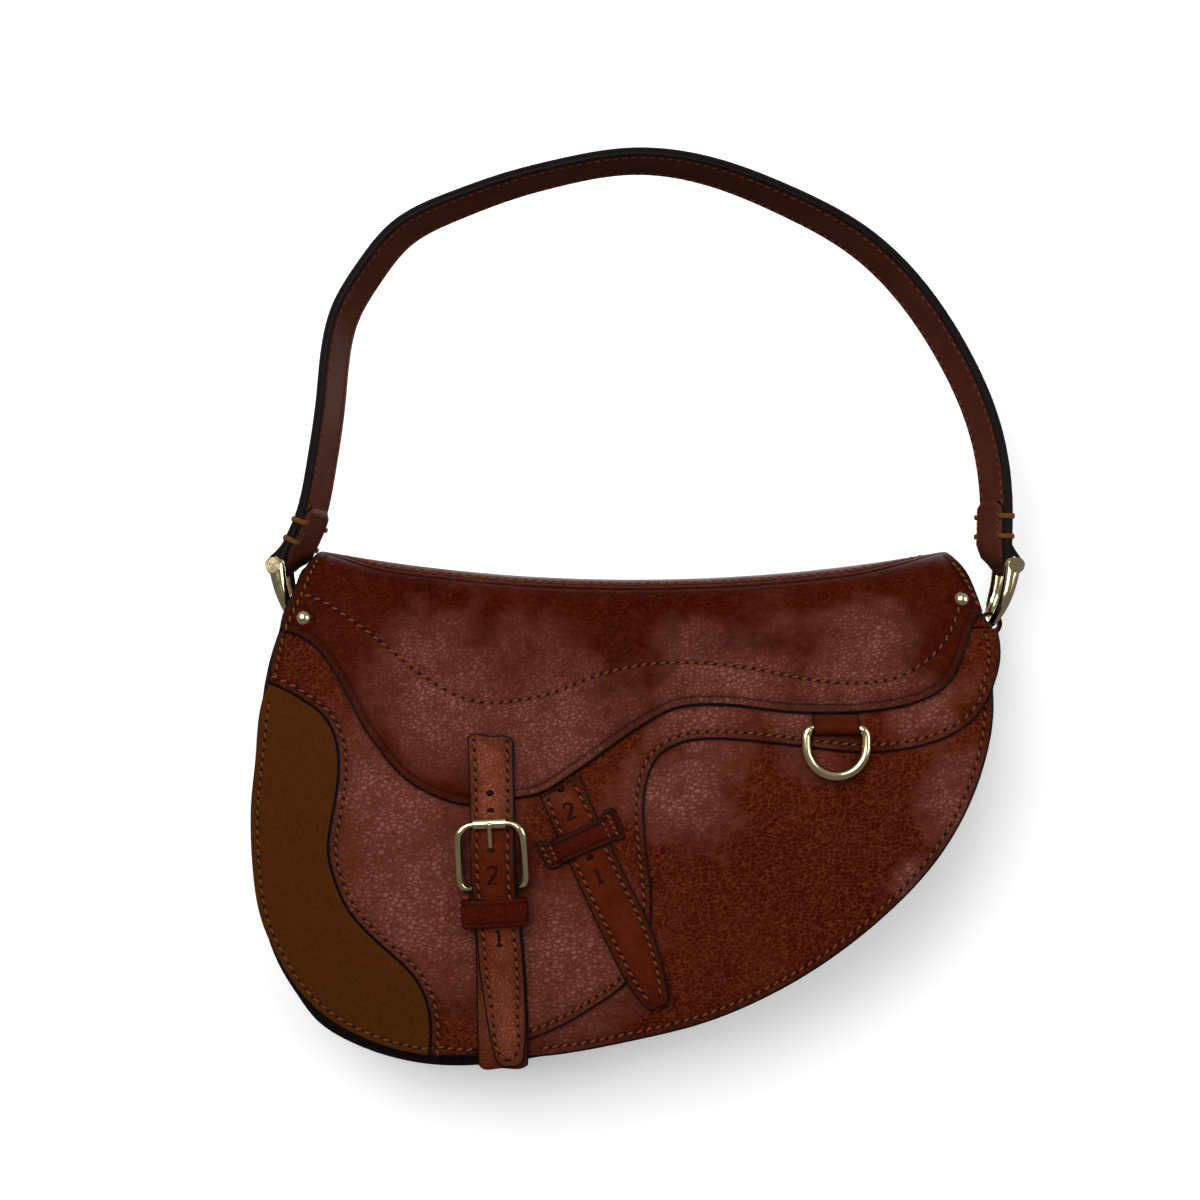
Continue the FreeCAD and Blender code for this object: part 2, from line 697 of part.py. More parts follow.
def ribbon(x, width, rows, low, high):
    """A strap that follows the front: its side outline between two level tables, carried across."""
    count = max(2, math.ceil((rows[1] - rows[0]) * down / ribbon_step))
    stations = [rows[0] + (rows[1] - rows[0]) * i / count for i in range(count + 1)]
    under = [skin_point(x, row, level_at(low, row)) for row in stations]
    over = [skin_point(x, row, level_at(high, row)) for row in stations]
    edges = [smooth(under), Part.makeLine(under[-1], over[-1])]
    edges += [smooth(over[::-1]), Part.makeLine(over[0], under[0])]
    face = Part.Face(Part.Wire(edges))
    face.translate(V(-width / 2, 0, 0))
    return face.extrude(V(width, 0, 0))


def raised(levels, height):
    return [(row, level + height) for row, level in levels]


def leaned(shape):
    """Turn a strap piece to the strap's lean."""
    turned = shape.copy()
    turned.rotate(strap_pivot, V(0, 1, 0), -strap_lean_deg)
    return turned


def cross_rod(radius, length, centre):
    return Part.makeCylinder(radius, length, centre - V(length / 2, 0, 0), V(1, 0, 0))


def make_buckled_strap():
    """Billet, buckle strap, buckle frame, roller, prong and the sliding keeper."""
    bar = skin_point(strap_x, bar_row, bar_level)
    front = skin_point(strap_x, roller_row, roller_level)
    ring_width = 2 * prong_radius + 2 * prong_ring_wall

    billet = ribbon(strap_x, billet_width, (billet_top_row, billet_tip_row), billet_levels,
                    raised(billet_levels, billet_ply))
    half = billet_width / 2
    tip = billet_tip_width / 2
    top_row = billet_top_row - overrun / down
    round_row = billet_tip_row - billet_tip_rows
    corners = [
        (-half, top_row), (half, top_row), (half, billet_taper_row), (tip, round_row),
        (tip / 2, billet_tip_row), (-tip / 2, billet_tip_row), (-tip, round_row),
        (-half, billet_taper_row), (-half, top_row),
    ]
    outline = Part.makePolygon([V(strap_x + x, -half_depth, row_z(row)) for x, row in corners])
    billet = billet.common(Part.Face(outline).extrude(V(0, half_depth, 0)))
    slot_wide = 2 * (prong_radius + prong_slot_clearance)
    slot_tall = (slot_bottom_row - slot_top_row) * down
    slot = Part.makeBox(slot_wide, 2 * overrun, slot_tall,
                        V(strap_x - slot_wide / 2, -half_depth, row_z(slot_bottom_row)))
    billet = billet.cut(slot)
    for row in billet_hole_rows:
        place = V(strap_x, -half_depth, row_z(row))
        billet = billet.cut(Part.makeCylinder(hole_radius, 2 * overrun, place, V(0, 1, 0)))
    parts["billet_strap"] = leaned(billet)

    ply = ribbon(strap_x, buckle_strap_width, (bar_row, fold_row), main_levels,
                 raised(main_levels, buckle_strap_ply))
    loop = cross_rod(loop_radius, buckle_strap_width, bar)
    foot_row = fold_row + buckle_strap_ply / down
    under_edge = [(fold_row, ply_gap)]
    foot = ribbon(strap_x, buckle_strap_width, (fold_row, foot_row), under_edge,
                  [(fold_row, layer_seat + strap_seat_gap + buckle_strap_ply)])
    bore = cross_rod(bar_radius + bar_clearance, 2 * buckle_strap_width, bar)
    gap_wide = ring_width + 2 * prong_slot_clearance
    gap_tall = 2 * loop_radius + prong_slot_clearance
    gap_foot = bar.z - loop_radius - prong_slot_clearance
    gap = Part.makeBox(gap_wide, 2 * overrun, gap_tall + loop_radius,
                       V(strap_x - gap_wide / 2, bar.y - overrun, gap_foot))
    strap = ply.fuse(loop).fuse(foot).cut(bore).cut(gap)
    parts["buckle_strap"] = leaned(strap.removeSplitter())

    rail_x = buckle_inner_width / 2 + rail_radius
    frame = cross_rod(bar_radius, 2 * rail_x, bar).fuse(cross_rod(bar_radius, 2 * rail_x, front))
    for side in (-1, 1):
        foot_end = bar + V(side * rail_x, 0, 0)
        along = front - bar
        frame = frame.fuse(Part.makeCylinder(rail_radius, along.Length, foot_end, along))
        for end in (foot_end, foot_end + along):
            frame = frame.fuse(Part.makeSphere(rail_radius, end))
    parts["buckle_frame"] = leaned(frame.removeSplitter())

    roller = cross_rod(roller_radius, roller_length, front)
    roller_bore = cross_rod(bar_radius + roller_clearance, 2 * roller_length, front)
    parts["buckle_roller"] = leaned(roller.cut(roller_bore))

    along = front - bar
    stand_off = roller_radius + prong_radius + prong_rest_gap
    tilt = math.asin(stand_off / along.Length)
    reach = along.Length * math.cos(tilt) + prong_radius
    along = FreeCAD.Rotation(V(1, 0, 0), math.degrees(tilt)).multVec(along).normalize()
    prong = Part.makeCylinder(prong_radius, reach, bar, along)
    prong = prong.fuse(Part.makeSphere(prong_radius, bar + along * reach))
    prong = prong.fuse(cross_rod(bar_radius + bar_clearance + prong_ring_wall, ring_width, bar))
    parts["buckle_prong"] = leaned(prong.cut(cross_rod(bar_radius + bar_clearance, 2 * ring_width, bar)))
    places["prong_pivot"] = leaned(Part.Vertex(bar)).Point
    places["roller_centre"] = leaned(Part.Vertex(front)).Point

    keeper_high = level_at(billet_levels, keeper_top_row) + billet_ply + keeper_clearance + keeper_ply
    middle = skin_point(strap_x, keeper_row, layer_seat)
    slope_points = [skin_point(strap_x, keeper_row + s * keeper_rows / 2, layer_seat) for s in (-1, 1)]
    slope = slope_points[1] - slope_points[0]
    tall = keeper_rows * down
    deep = keeper_high - layer_seat - keeper_clearance
    corner = V(-keeper_width / 2, -deep - keeper_clearance, -tall / 2)
    outer = Part.makeBox(keeper_width, deep, tall, corner)
    inner = Part.makeBox(keeper_width - 2 * keeper_ply, deep - 2 * keeper_ply, 2 * tall,
                         V(-keeper_width / 2 + keeper_ply, -deep - keeper_clearance + keeper_ply, -tall))
    keeper = outer.cut(inner)
    keeper.rotate(V(0, 0, 0), V(1, 0, 0), math.degrees(math.atan2(slope.y, -slope.z)))
    keeper.translate(middle)
    parts["buckle_keeper"] = leaned(keeper)
    places["keeper_way"] = leaned(Part.makeLine(V(0, 0, 0), slope)).Edges[0].tangentAt(0)


def make_side_strap():
    """The slanted strap sewn to the skirt, and the keeper stitched down across it."""
    outline = runs_prism([side_strap_left_pixels, side_strap_tip_pixels, side_strap_right_pixels])
    top = layer_seat + side_strap_ply
    top_z = pocket_mouth_z
    strap = front_band(layer_seat, top, top_z).common(outline).cut(seat_prism)
    for pixel in side_hole_pixels:
        place = spot(pixel)
        start = V(place.x, -half_depth, place.z)
        rod = Part.makeCylinder(hole_radius, 2 * overrun, start, V(0, 1, 0))
        strap = strap.cut(rod)
    parts["side_strap"] = strap
    turned = side_keeper_pixels[1:] + side_keeper_pixels[:1]
    cross = runs_prism([[p, q] for p, q in zip(side_keeper_pixels, turned)])
    keeper = front_band(layer_seat, top + side_keeper_gap + side_keeper_ply, top_z).common(cross)
    tunnel = front_band(layer_seat - overrun / 2, top + side_keeper_gap, top_z).common(outline)
    parts["side_keeper"] = keeper.cut(tunnel)


def make_d_ring():
    """A D-ring hung by its straight bar in a folded tab."""
    wire = d_ring_wire_radius
    x = column_x(d_bar_pixel[0])
    row = d_bar_pixel[1]
    level = layer_seat + d_tab_ply + 2 * d_tab_clearance + wire
    bar = skin_point(x, row, level)
    radius = d_ring_inner_width / 2 + wire
    leg = d_ring_height - 2 * wire - radius
    ring = Part.makeTorus(radius, wire, V(0, 0, -leg), V(0, 1, 0))
    lower = Part.makeBox(2 * overrun, 2 * overrun, overrun, V(-overrun, -overrun, -leg - overrun))
    ring = ring.common(lower)
    ring = ring.fuse(cross_rod(wire, 2 * radius, V(0, 0, 0)))
    for side in (-1, 1):
        ring = ring.fuse(Part.makeCylinder(wire, leg, V(side * radius, 0, -leg)))
        ring = ring.fuse(Part.makeSphere(wire, V(side * radius, 0, 0)))
    below = skin_point(x, row + d_ring_height / down, level)
    ring.rotate(V(0, 0, 0), V(1, 0, 0), math.degrees(math.atan2(below.y - bar.y, bar.z - below.z)))
    ring.translate(bar)
    parts["d_ring"] = ring.removeSplitter()
    places["d_ring_bar"] = bar
    top_row = d_tab_top_pixel + d_tab_seat_gap / down
    loop_outer = wire + d_tab_clearance + d_tab_ply
    low = layer_seat + d_tab_clearance
    out = V(0, -loop_outer, 0)
    high = low + 2 * d_tab_ply
    corners = [skin_point(x, top_row, low), skin_point(x, top_row, high), bar + out, bar - out]
    half = V(d_tab_width / 2, 0, 0)
    side = Part.Face(Part.makePolygon([corner - half for corner in corners + corners[:1]]))
    tab = side.extrude(V(d_tab_width, 0, 0)).fuse(cross_rod(loop_outer, d_tab_width, bar))
    tab = tab.cut(cross_rod(wire + d_tab_clearance, 2 * d_tab_width, bar))
    parts["d_ring_tab"] = tab.removeSplitter()


def write_parts():
    os.makedirs("parts", exist_ok=True)
    for node, shape in parts.items():
        box = shape.optimalBoundingBox()
        reach = [round(value, 1) for value in (box.XMin, box.XMax, box.YMin, box.YMax, box.ZMin, box.ZMax)]
        print(node, "valid" if shape.isValid() else "BROKEN", len(shape.Solids), round(shape.Volume), reach)
        shape.exportStep("parts/" + node + ".step")
    for name, place in places.items():
        print(name, [round(value, 4) for value in place])


make_flap_layers()
make_pocket()
make_rivets()
make_handle()
make_shackles()
make_side_tabs()
make_buckled_strap()
make_side_strap()
make_d_ring()
write_parts()
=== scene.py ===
# %% [markdown]
# # A saddle handbag, dressed over its frame
# The frame holds every solid of the bag in its true place. This lesson lays leather, suede, thread
# and metal over it. The camera stands where the photographer stood, so a place read off the photo
# can be carried back along its sight line onto the bag.

# %% Load the frame
import json
import bpy
import numpy as np
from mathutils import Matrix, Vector
from mathutils.geometry import delaunay_2d_cdt

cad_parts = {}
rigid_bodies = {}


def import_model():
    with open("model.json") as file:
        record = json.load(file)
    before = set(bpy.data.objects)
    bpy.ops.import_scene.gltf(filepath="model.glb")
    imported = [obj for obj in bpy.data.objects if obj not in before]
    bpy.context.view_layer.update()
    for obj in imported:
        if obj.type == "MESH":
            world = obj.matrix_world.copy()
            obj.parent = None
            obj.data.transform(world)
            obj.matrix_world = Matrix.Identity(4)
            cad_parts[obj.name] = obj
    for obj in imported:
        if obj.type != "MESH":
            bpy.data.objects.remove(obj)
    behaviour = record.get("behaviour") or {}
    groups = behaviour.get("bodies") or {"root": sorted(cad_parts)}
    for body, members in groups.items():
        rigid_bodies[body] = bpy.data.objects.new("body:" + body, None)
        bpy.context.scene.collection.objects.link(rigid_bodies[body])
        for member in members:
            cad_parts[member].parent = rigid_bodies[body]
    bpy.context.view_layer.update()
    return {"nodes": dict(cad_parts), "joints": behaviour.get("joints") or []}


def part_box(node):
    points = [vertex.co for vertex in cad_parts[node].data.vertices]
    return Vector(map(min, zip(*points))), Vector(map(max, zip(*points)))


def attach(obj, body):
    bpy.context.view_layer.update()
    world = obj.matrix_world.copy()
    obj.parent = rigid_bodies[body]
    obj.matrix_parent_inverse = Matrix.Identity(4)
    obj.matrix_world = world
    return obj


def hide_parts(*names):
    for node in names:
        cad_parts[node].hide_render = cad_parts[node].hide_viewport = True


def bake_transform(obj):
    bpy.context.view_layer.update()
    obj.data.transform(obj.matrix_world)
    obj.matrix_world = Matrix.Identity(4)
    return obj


for leftover in list(bpy.data.objects):
    bpy.data.objects.remove(leftover)
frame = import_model()
nodes = frame["nodes"]
joints = {joint["name"]: joint for joint in frame["joints"]}
MM = 0.001

# %% [markdown]
# ## The bag's skin
# Seen from the side the bag is a roll on top and a long, gently bulging front. Seen from the front
# the roll dips in the middle, because that side outline turns about a far axis above the bag. So any
# place on the leather needs two numbers only, how far across (x) and how far round from the back
# (s), and a third that says how far the leather stands off the inner skin.

# %% Sizes of the skin
fold_y, fold_z = [value / MM for value in joints["flap_open"]["pos_m"][1:]]
ridge_z = fold_z + 18.8
roll_radius = 22.0
roll_turn = np.radians(172.0)
front_radius = 560.0
lining_level, skirt_level, seat_level, top_level = 1.0, 3.8, 5.4, 7.2
panel_level = -0.5
roll_y = fold_y + 1.0 + roll_radius + top_level
roll_z = ridge_z - roll_radius - top_level
ridge_x = -4.0
axis_z = ridge_z + 690.0
front_y = roll_y - (front_radius - roll_radius) * np.cos(roll_turn)
front_z = roll_z - (front_radius - roll_radius) * np.sin(roll_turn)
roll_length = (roll_radius + top_level) * roll_turn
back_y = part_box("back_panel")[1][1] / MM
print("ridge", round(ridge_z, 2), "roll centre", round(roll_y, 2), round(roll_z, 2))


def together(*values):
    """Arrays of numbers brought to one shape."""
    return np.broadcast_arrays(*[np.asarray(value, float) for value in values])


def skin(x, s, level):
    """Points on the leather. From s = 0 the section turns round the roll (angle = s / outer radius),
    then follows the front arc; before 0 it runs straight down the back. The level adds to both radii.
    The section then turns about the ridge's axis: height = axis - sqrt(radius^2 - (x - ridge x)^2)."""
    x, s, level = together(x, s, level)
    turn = np.clip(s, 0, roll_length) / (roll_radius + top_level)
    bend = roll_turn + np.maximum(s - roll_length, 0) / (front_radius + top_level)
    in_front = s > roll_length
    y = np.where(in_front, front_y + (front_radius + level) * np.cos(bend),
                 roll_y + (roll_radius + level) * np.cos(turn))
    z = np.where(in_front, front_z + (front_radius + level) * np.sin(bend),
                 roll_z + (roll_radius + level) * np.sin(turn))
    z = z + np.minimum(s, 0)
    reach = axis_z - z
    z = axis_z - np.sqrt(np.maximum(reach ** 2 - (x - ridge_x) ** 2, 1.0))
    return np.stack([x, y, z], axis=-1)


def round_from_back(x, z, level):
    """The way s of a place on the front: the inverse of skin, arcsine of the height on each arc."""
    section_z = axis_z - np.hypot(x - ridge_x, axis_z - z)
    bend = np.pi - np.arcsin(np.clip((section_z - front_z) / (front_radius + level), -1, 1))
    turn = np.pi - np.arcsin(np.clip((section_z - roll_z) / (roll_radius + level), -1, 1))
    return np.where(bend > roll_turn, roll_length + (bend - roll_turn) * (front_radius + top_level),
                    turn * (roll_radius + top_level))


# %% [markdown]
# ## Reading places off the photo
# Photo pixels become places on the bag by following the sight line: guess a depth, find x and z
# there, ask the skin for its depth at that place, and repeat. A few rounds settle it.

# %% Camera geometry and photo places
photo_pixels = 1200
photo_middle = photo_pixels / 2
photo_scale = 0.385
camera_distance = 800.0
front_plane_y = -27.5
eye = np.array([-17.5, front_plane_y - camera_distance, -172.4])


def sight(pixels, depth_y):
    """Where sight lines through pixels meet a depth: offset from the middle grows with distance."""
    pixels = np.asarray(pixels, float)
    spread = photo_scale * (depth_y - eye[1]) / camera_distance
    x = eye[0] + (pixels[:, 0] - photo_middle) * spread
    z = eye[2] - (pixels[:, 1] - photo_middle) * spread
    return x, z


def on_photo(pixels, level):
    """Places (x, s) on the leather under photo pixels, found by repeated guesses of the depth."""
    depth = np.full(len(pixels), front_plane_y)
    for _ in range(12):
        x, z = sight(pixels, depth)
        s = round_from_back(x, z, level)
        depth = skin(x, s, level)[:, 1]
    return np.column_stack([x, s])


# %% Smooth lines
def way_along(points):
    """The length along a line from its first point to each of its points."""
    return np.concatenate([[0], np.cumsum(np.linalg.norm(np.diff(points, axis=0), axis=1))])


def even_steps(points, step):
    """Points at equal steps along a line, by interpolating each coordinate over its length."""
    length = way_along(points)
    count = max(2, int(np.ceil(length[-1] / step)) + 1)
    at = np.linspace(0, length[-1], count)
    return np.column_stack([np.interp(at, length, column) for column in points.T])


def smooth_run(points, step):
    """A natural cubic spline over chord length through the points, cut at equal steps."""
    points = np.asarray(points, float)
    if len(points) == 2:
        return even_steps(points, step)
    at = way_along(points)
    gaps = np.linalg.norm(np.diff(points, axis=0), axis=1)
    count = len(points)
    system = np.eye(count)
    inner = np.arange(1, count - 1)
    system[inner, inner - 1] = gaps[:-1]
    system[inner, inner] = 2 * (gaps[:-1] + gaps[1:])
    system[inner, inner + 1] = gaps[1:]
    change = np.zeros_like(points)
    change[1:-1] = 6 * np.diff(np.diff(points, axis=0) / gaps[:, None], axis=0)
    bend = np.linalg.solve(system, change)
    fine = np.linspace(0, at[-1], 24 * count)
    k = np.clip(np.searchsorted(at, fine, side="right") - 1, 0, count - 2)
    gap = gaps[k][:, None]
    ahead = (at[k + 1] - fine)[:, None]
    past = (fine - at[k])[:, None]
    curve = (bend[k] * ahead ** 3 + bend[k + 1] * past ** 3) / (6 * gap)
    curve += (points[k] / gap - bend[k] * gap / 6) * ahead
    curve += (points[k + 1] / gap - bend[k + 1] * gap / 6) * past
    return even_steps(curve, step)


# %% [markdown]
# ## Putting arrays into meshes
# Every piece below ends as arrays of points and faces. One helper writes them with `foreach_set`,
# which is fast and keeps the script free of loops over points.

# %% Mesh writer
def put_mesh(name, points, faces, materials, paint=None, smooth=True):
    """A mesh object at the origin from points (mm) and a list of face arrays, one per corner count."""
    mesh = bpy.data.meshes.new(name)
    points = np.asarray(points, float).reshape(-1, 3) * MM
    faces = [np.asarray(block, int) for block in faces if len(block)]
    corners = np.concatenate([block.ravel() for block in faces])
    sizes = np.concatenate([np.full(len(block), block.shape[1]) for block in faces])
    mesh.vertices.add(len(points))
    mesh.vertices.foreach_set("co", points.ravel())
    mesh.loops.add(len(corners))
    mesh.loops.foreach_set("vertex_index", corners)
    mesh.polygons.add(len(sizes))
    mesh.polygons.foreach_set("loop_start", np.concatenate([[0], np.cumsum(sizes)[:-1]]))
    if paint is not None:
        mesh.polygons.foreach_set("material_index", np.asarray(paint, np.int32))
    mesh.polygons.foreach_set("use_smooth", np.full(len(sizes), smooth))
    mesh.update(calc_edges=True)
    mesh.validate()
    for material in materials:
        mesh.materials.append(material)
    piece = bpy.data.objects.new(name, mesh)
    bpy.context.collection.objects.link(piece)
    print(name, "points", len(points), "faces", len(sizes))
    return piece


def grid_faces(rows, columns, closed_rows=False, closed_columns=False):
    """Quads of a grid of points numbered row by row, joined round where a way is closed."""
    numbers = np.arange(rows * columns).reshape(rows, columns)
    if closed_rows:
        numbers = np.vstack([numbers, numbers[:1]])
    if closed_columns:
        numbers = np.hstack([numbers, numbers[:, :1]])
    a, b = numbers[:-1, :-1], numbers[:-1, 1:]
    c, d = numbers[1:, 1:], numbers[1:, :-1]
    return np.stack([a, b, c, d], axis=-1).reshape(-1, 4)


# %% [markdown]
# ## Finishes
# Leather looks right when three scales work together: slow clouds of colour from tanning, a pebbled
# grain a millimetre across, and pores finer than that. The three live in one node group, so every
# hide on the bag shares them and only brings its own colours and grain size.

# %% Materials and groups
def new_material(name, roughness=0.5, metallic=0.0):
    """An empty Principled material with its Object coordinates ready."""
    material = bpy.data.materials.new(name)
    material.use_nodes = True
    tree = material.node_tree
    shader = tree.nodes["Principled BSDF"]
    shader.inputs["Roughness"].default_value = roughness
    shader.inputs["Metallic"].default_value = metallic
    where = tree.nodes.new("ShaderNodeTexCoord").outputs["Object"]
    return material, tree, shader, where


def new_group(name, inputs, outputs):
    """A shader node group with named sockets: each is (name, kind, starting value)."""
    group = bpy.data.node_groups.new(name, "ShaderNodeTree")
    for label, kind, start in inputs:
        socket = group.interface.new_socket(label, in_out="INPUT", socket_type="NodeSocket" + kind)
        if start is not None:
            socket.default_value = start
    for label, kind in outputs:
        group.interface.new_socket(label, in_out="OUTPUT", socket_type="NodeSocket" + kind)
    entry = group.nodes.new("NodeGroupInput")
    leave = group.nodes.new("NodeGroupOutput")
    return group, entry.outputs, leave.inputs


# %% Node helpers
def noise(tree, where, scale, detail=3.0, roughness=0.55):
    """Cloudy noise, scale in clouds per metre."""
    node = tree.nodes.new("ShaderNodeTexNoise")
    node.inputs["Detail"].default_value = detail
    node.inputs["Roughness"].default_value = roughness
    feed(tree, node.inputs["Scale"], scale)
    tree.links.new(where, node.inputs["Vector"])
    return node.outputs["Fac"]


def feed(tree, socket, value):
    """Link a socket to another, or set it to a plain value."""
    if isinstance(value, bpy.types.NodeSocket):
        tree.links.new(value, socket)
    else:
        socket.default_value = value


def spread(tree, value, low, high, to_low=0.0, to_high=1.0):
    """Map a value from one range to another, held at the ends."""
    node = tree.nodes.new("ShaderNodeMapRange")
    feed(tree, node.inputs["Value"], value)
    for label, number in (("From Min", low), ("From Max", high), ("To Min", to_low), ("To Max", to_high)):
        feed(tree, node.inputs[label], number)
    return node.outputs["Result"]


def math_node(tree, operation, a, b):
    """One step of arithmetic."""
    node = tree.nodes.new("ShaderNodeMath")
    node.operation = operation
    feed(tree, node.inputs[0], a)
    feed(tree, node.inputs[1], b)
    return node.outputs["Value"]


def vector_node(tree, operation, a, b=None):
    """One step of vector arithmetic, with its vector and its value as outputs."""
    node = tree.nodes.new("ShaderNodeVectorMath")
    node.operation = operation
    feed(tree, node.inputs[0], a)
    if b is not None:
        feed(tree, node.inputs[1], b)
    return node.outputs


def blend_colour(tree, share, a, b):
    """A share of the way from one colour to the other."""
    node = tree.nodes.new("ShaderNodeMix")
    node.data_type = "RGBA"
    feed(tree, node.inputs[0], share)
    feed(tree, node.inputs[6], a)
    feed(tree, node.inputs[7], b)
    return node.outputs[2]


def bump(tree, shader, height, strength, distance):
    """Tilt the shader's normal by a height; the distance is the relief in metres."""
    node = tree.nodes.new("ShaderNodeBump")
    node.inputs["Strength"].default_value = strength
    node.inputs["Distance"].default_value = distance
    tree.links.new(height, node.inputs["Height"])
    tree.links.new(node.outputs["Normal"], shader.inputs["Normal"])


def use_group(tree, group, values):
    """Place a group in a material and set or link its inputs."""
    node = tree.nodes.new("ShaderNodeGroup")
    node.node_tree = group
    for label, value in values.items():
        feed(tree, node.inputs[label], value)
    return node.outputs


# %% Leather group
# The sheen colour and the sheen mask inputs carry a painted highlight; Net also gives painted shade in the
# folds' valleys.
leather_group, given, out = new_group("tanned hide", [
    ("Place", "Vector", None), ("Deep", "Color", None), ("Warm", "Color", None), ("Painted Sheen Colour", "Color", None),
    ("Net", "Color", None), ("Crest", "Color", (0.150, 0.034, 0.0100, 1.0)), ("Net Share", "Float", 0.5),
    ("Pebbles", "Float", 560.0), ("Pebble Depth", "Float", 1.0), ("Wrinkles", "Float", 0.5),
    ("Painted Sheen Mask", "Float", 0.0), ("Edge", "Float", 0.0), ("Press", "Float", 0.0),
], [("Color", "Color"), ("Roughness", "Float"), ("Height", "Float")])


def times(*values):
    """The product of several values inside the leather group."""
    product = values[0]
    for value in values[1:]:
        product = math_node(leather_group, "MULTIPLY", product, value)
    return product


def plus(a, b):
    """A sum inside the leather group."""
    return math_node(leather_group, "ADD", a, b)


def ramp(value, low, high, to_low=0.0, to_high=1.0):
    """A mapped range inside the leather group."""
    return spread(leather_group, value, low, high, to_low, to_high)


def dye(share, tone, colour):
    """A share of another colour laid over the tone."""
    return blend_colour(leather_group, share, tone, colour)


# %% Leather noises and grain
place = given["Place"]
clouds = noise(leather_group, place, 14.0, 4.0, 0.6)
mottle = noise(leather_group, place, 110.0, 4.0, 0.65)
pores = noise(leather_group, place, 2600.0, 2.0, 0.6)
wander = noise(leather_group, place, 620.0, 3.0)
long_way = vector_node(leather_group, "MULTIPLY", place, (1.0, 1.0, 2.2))["Vector"]
folds = noise(leather_group, long_way, 330.0, 2.0, 0.5)
sway = leather_group.nodes.new("ShaderNodeCombineXYZ")
for socket in sway.inputs:
    leather_group.links.new(times(wander, 0.0026), socket)
shifted = vector_node(leather_group, "ADD", place, sway.outputs["Vector"])["Vector"]
squat = vector_node(leather_group, "MULTIPLY", shifted, (1.0, 1.0, 1.35))["Vector"]
cells = leather_group.nodes.new("ShaderNodeTexVoronoi")
cells.feature = "DISTANCE_TO_EDGE"
leather_group.links.new(squat, cells.inputs["Vector"])
leather_group.links.new(given["Pebbles"], cells.inputs["Scale"])
from_edge = cells.outputs["Distance"]
patchy = ramp(mottle, 0.35, 0.65, 0.45, 1.0)
relief = times(ramp(from_edge, 0.0, 0.26), patchy, given["Pebble Depth"])
crumple = times(ramp(clouds, 0.42, 0.62, 0.15, 1.0), given["Wrinkles"], times(folds, 2.2))
height = plus(plus(relief, times(pores, 0.08)), crumple)

# %% [markdown]
# The colour is laid on in coats: the drifting dye, a painted sheen, pale on the crowns of the pebbles
# in the sheen spots, painted highlights on the crests and painted shade in the valleys of the folds,
# the net between the pebbles (dark within the painted sheen, a lighter orange elsewhere), and last a
# darkening towards the cut edge and painted shade in the pressed lines.

# %% Leather colour
drift = plus(times(clouds, 0.6), times(mottle, 0.4))
tone = dye(ramp(drift, 0.38, 0.62), given["Deep"], given["Warm"])
# Painted sheen: a pale highlight laid over the colour in the sheen spots, brightest on the pebble crowns; the
# net lines between the pebbles are drawn dark only within it.
painted_sheen_share = times(given["Painted Sheen Mask"], ramp(mottle, 0.30, 0.62, 0.40, 1.0))
tone = dye(times(painted_sheen_share, ramp(from_edge, 0.0, 0.36, 0.40, 1.25)), tone, given["Painted Sheen Colour"])
# Painted highlight: the crests of the folds are drawn lighter.
fold_crest_highlight = times(ramp(folds, 0.48, 0.66, 0.0, 0.25), patchy, given["Wrinkles"])
tone = dye(fold_crest_highlight, tone, dye(0.4, given["Warm"], given["Painted Sheen Colour"]))
# Painted shade: the valleys of the folds are drawn darker.
fold_valley_shade = times(ramp(folds, 0.34, 0.48, 0.40, 0.0), patchy, given["Wrinkles"])
tone = dye(fold_valley_shade, tone, given["Net"])
net = times(ramp(from_edge, 0.0, 0.22, 1.0, 0.0), patchy, given["Net Share"])
tone = dye(times(net, painted_sheen_share), tone, given["Net"])
clear = math_node(leather_group, "SUBTRACT", 1.0, painted_sheen_share)
thin = times(ramp(from_edge, 0.0, 0.14, 0.70, 0.0), ramp(wander, 0.38, 0.58, 0.15, 1.0))
tone = dye(times(thin, clear, given["Pebble Depth"]), tone, given["Crest"])
# Darker within a few millimetres of the cut edge.
tone = dye(times(given["Edge"], 0.5), tone, (0.022, 0.006, 0.003, 1.0))
# Painted shade: creases and sewn grooves are drawn dark.
tone = dye(times(given["Press"], 0.7), tone, (0.012, 0.002, 0.001, 1.0))
shine = plus(ramp(clouds, 0.3, 0.7, 0.38, 0.28), ramp(relief, 0.0, 1.0, 0.10, 0.0))
for label, value in (("Color", tone), ("Roughness", shine), ("Height", height)):
    leather_group.links.new(value, out[label])
print("leather group nodes", len(leather_group.nodes))

# %% [markdown]
# Each hide is the group plus its own colours. Two attributes are written into every leather sheet:
# `edge` rises towards the cut edge, where the leather is drawn darker, and `press` marks creases and
# sewn grooves, which the finish darkens as painted shade. A hide can also carry sheen spots: places
# that bulge towards the lamps, where a pale sheen is painted into the colour as a highlight.

# %% Hides
grain_relief = 0.00018


# The mask of the painted sheen: round spots of painted highlight on the leather.
def painted_sheen_mask(tree, where, spots):
    """1 in the middle of each spot and 0 at its reach, which a noise makes ragged; spots are (x, z, reach)
    in mm, seen from the front."""
    flat = vector_node(tree, "MULTIPLY", where, (1.0, 0.0, 1.0))["Vector"]
    ragged = spread(tree, noise(tree, where, 38.0, 4.0, 0.6), 0.3, 0.7, -0.013, 0.013)
    mask = 0.0
    for x, z, reach in spots:
        gap = vector_node(tree, "DISTANCE", flat, (x * MM, 0.0, z * MM))["Value"]
        away = math_node(tree, "ADD", gap, ragged)
        faded = spread(tree, away, 0.15 * reach * MM, 1.05 * reach * MM, 1.0, 0.0)
        mask = math_node(tree, "MAXIMUM", faded, mask)
    return mask


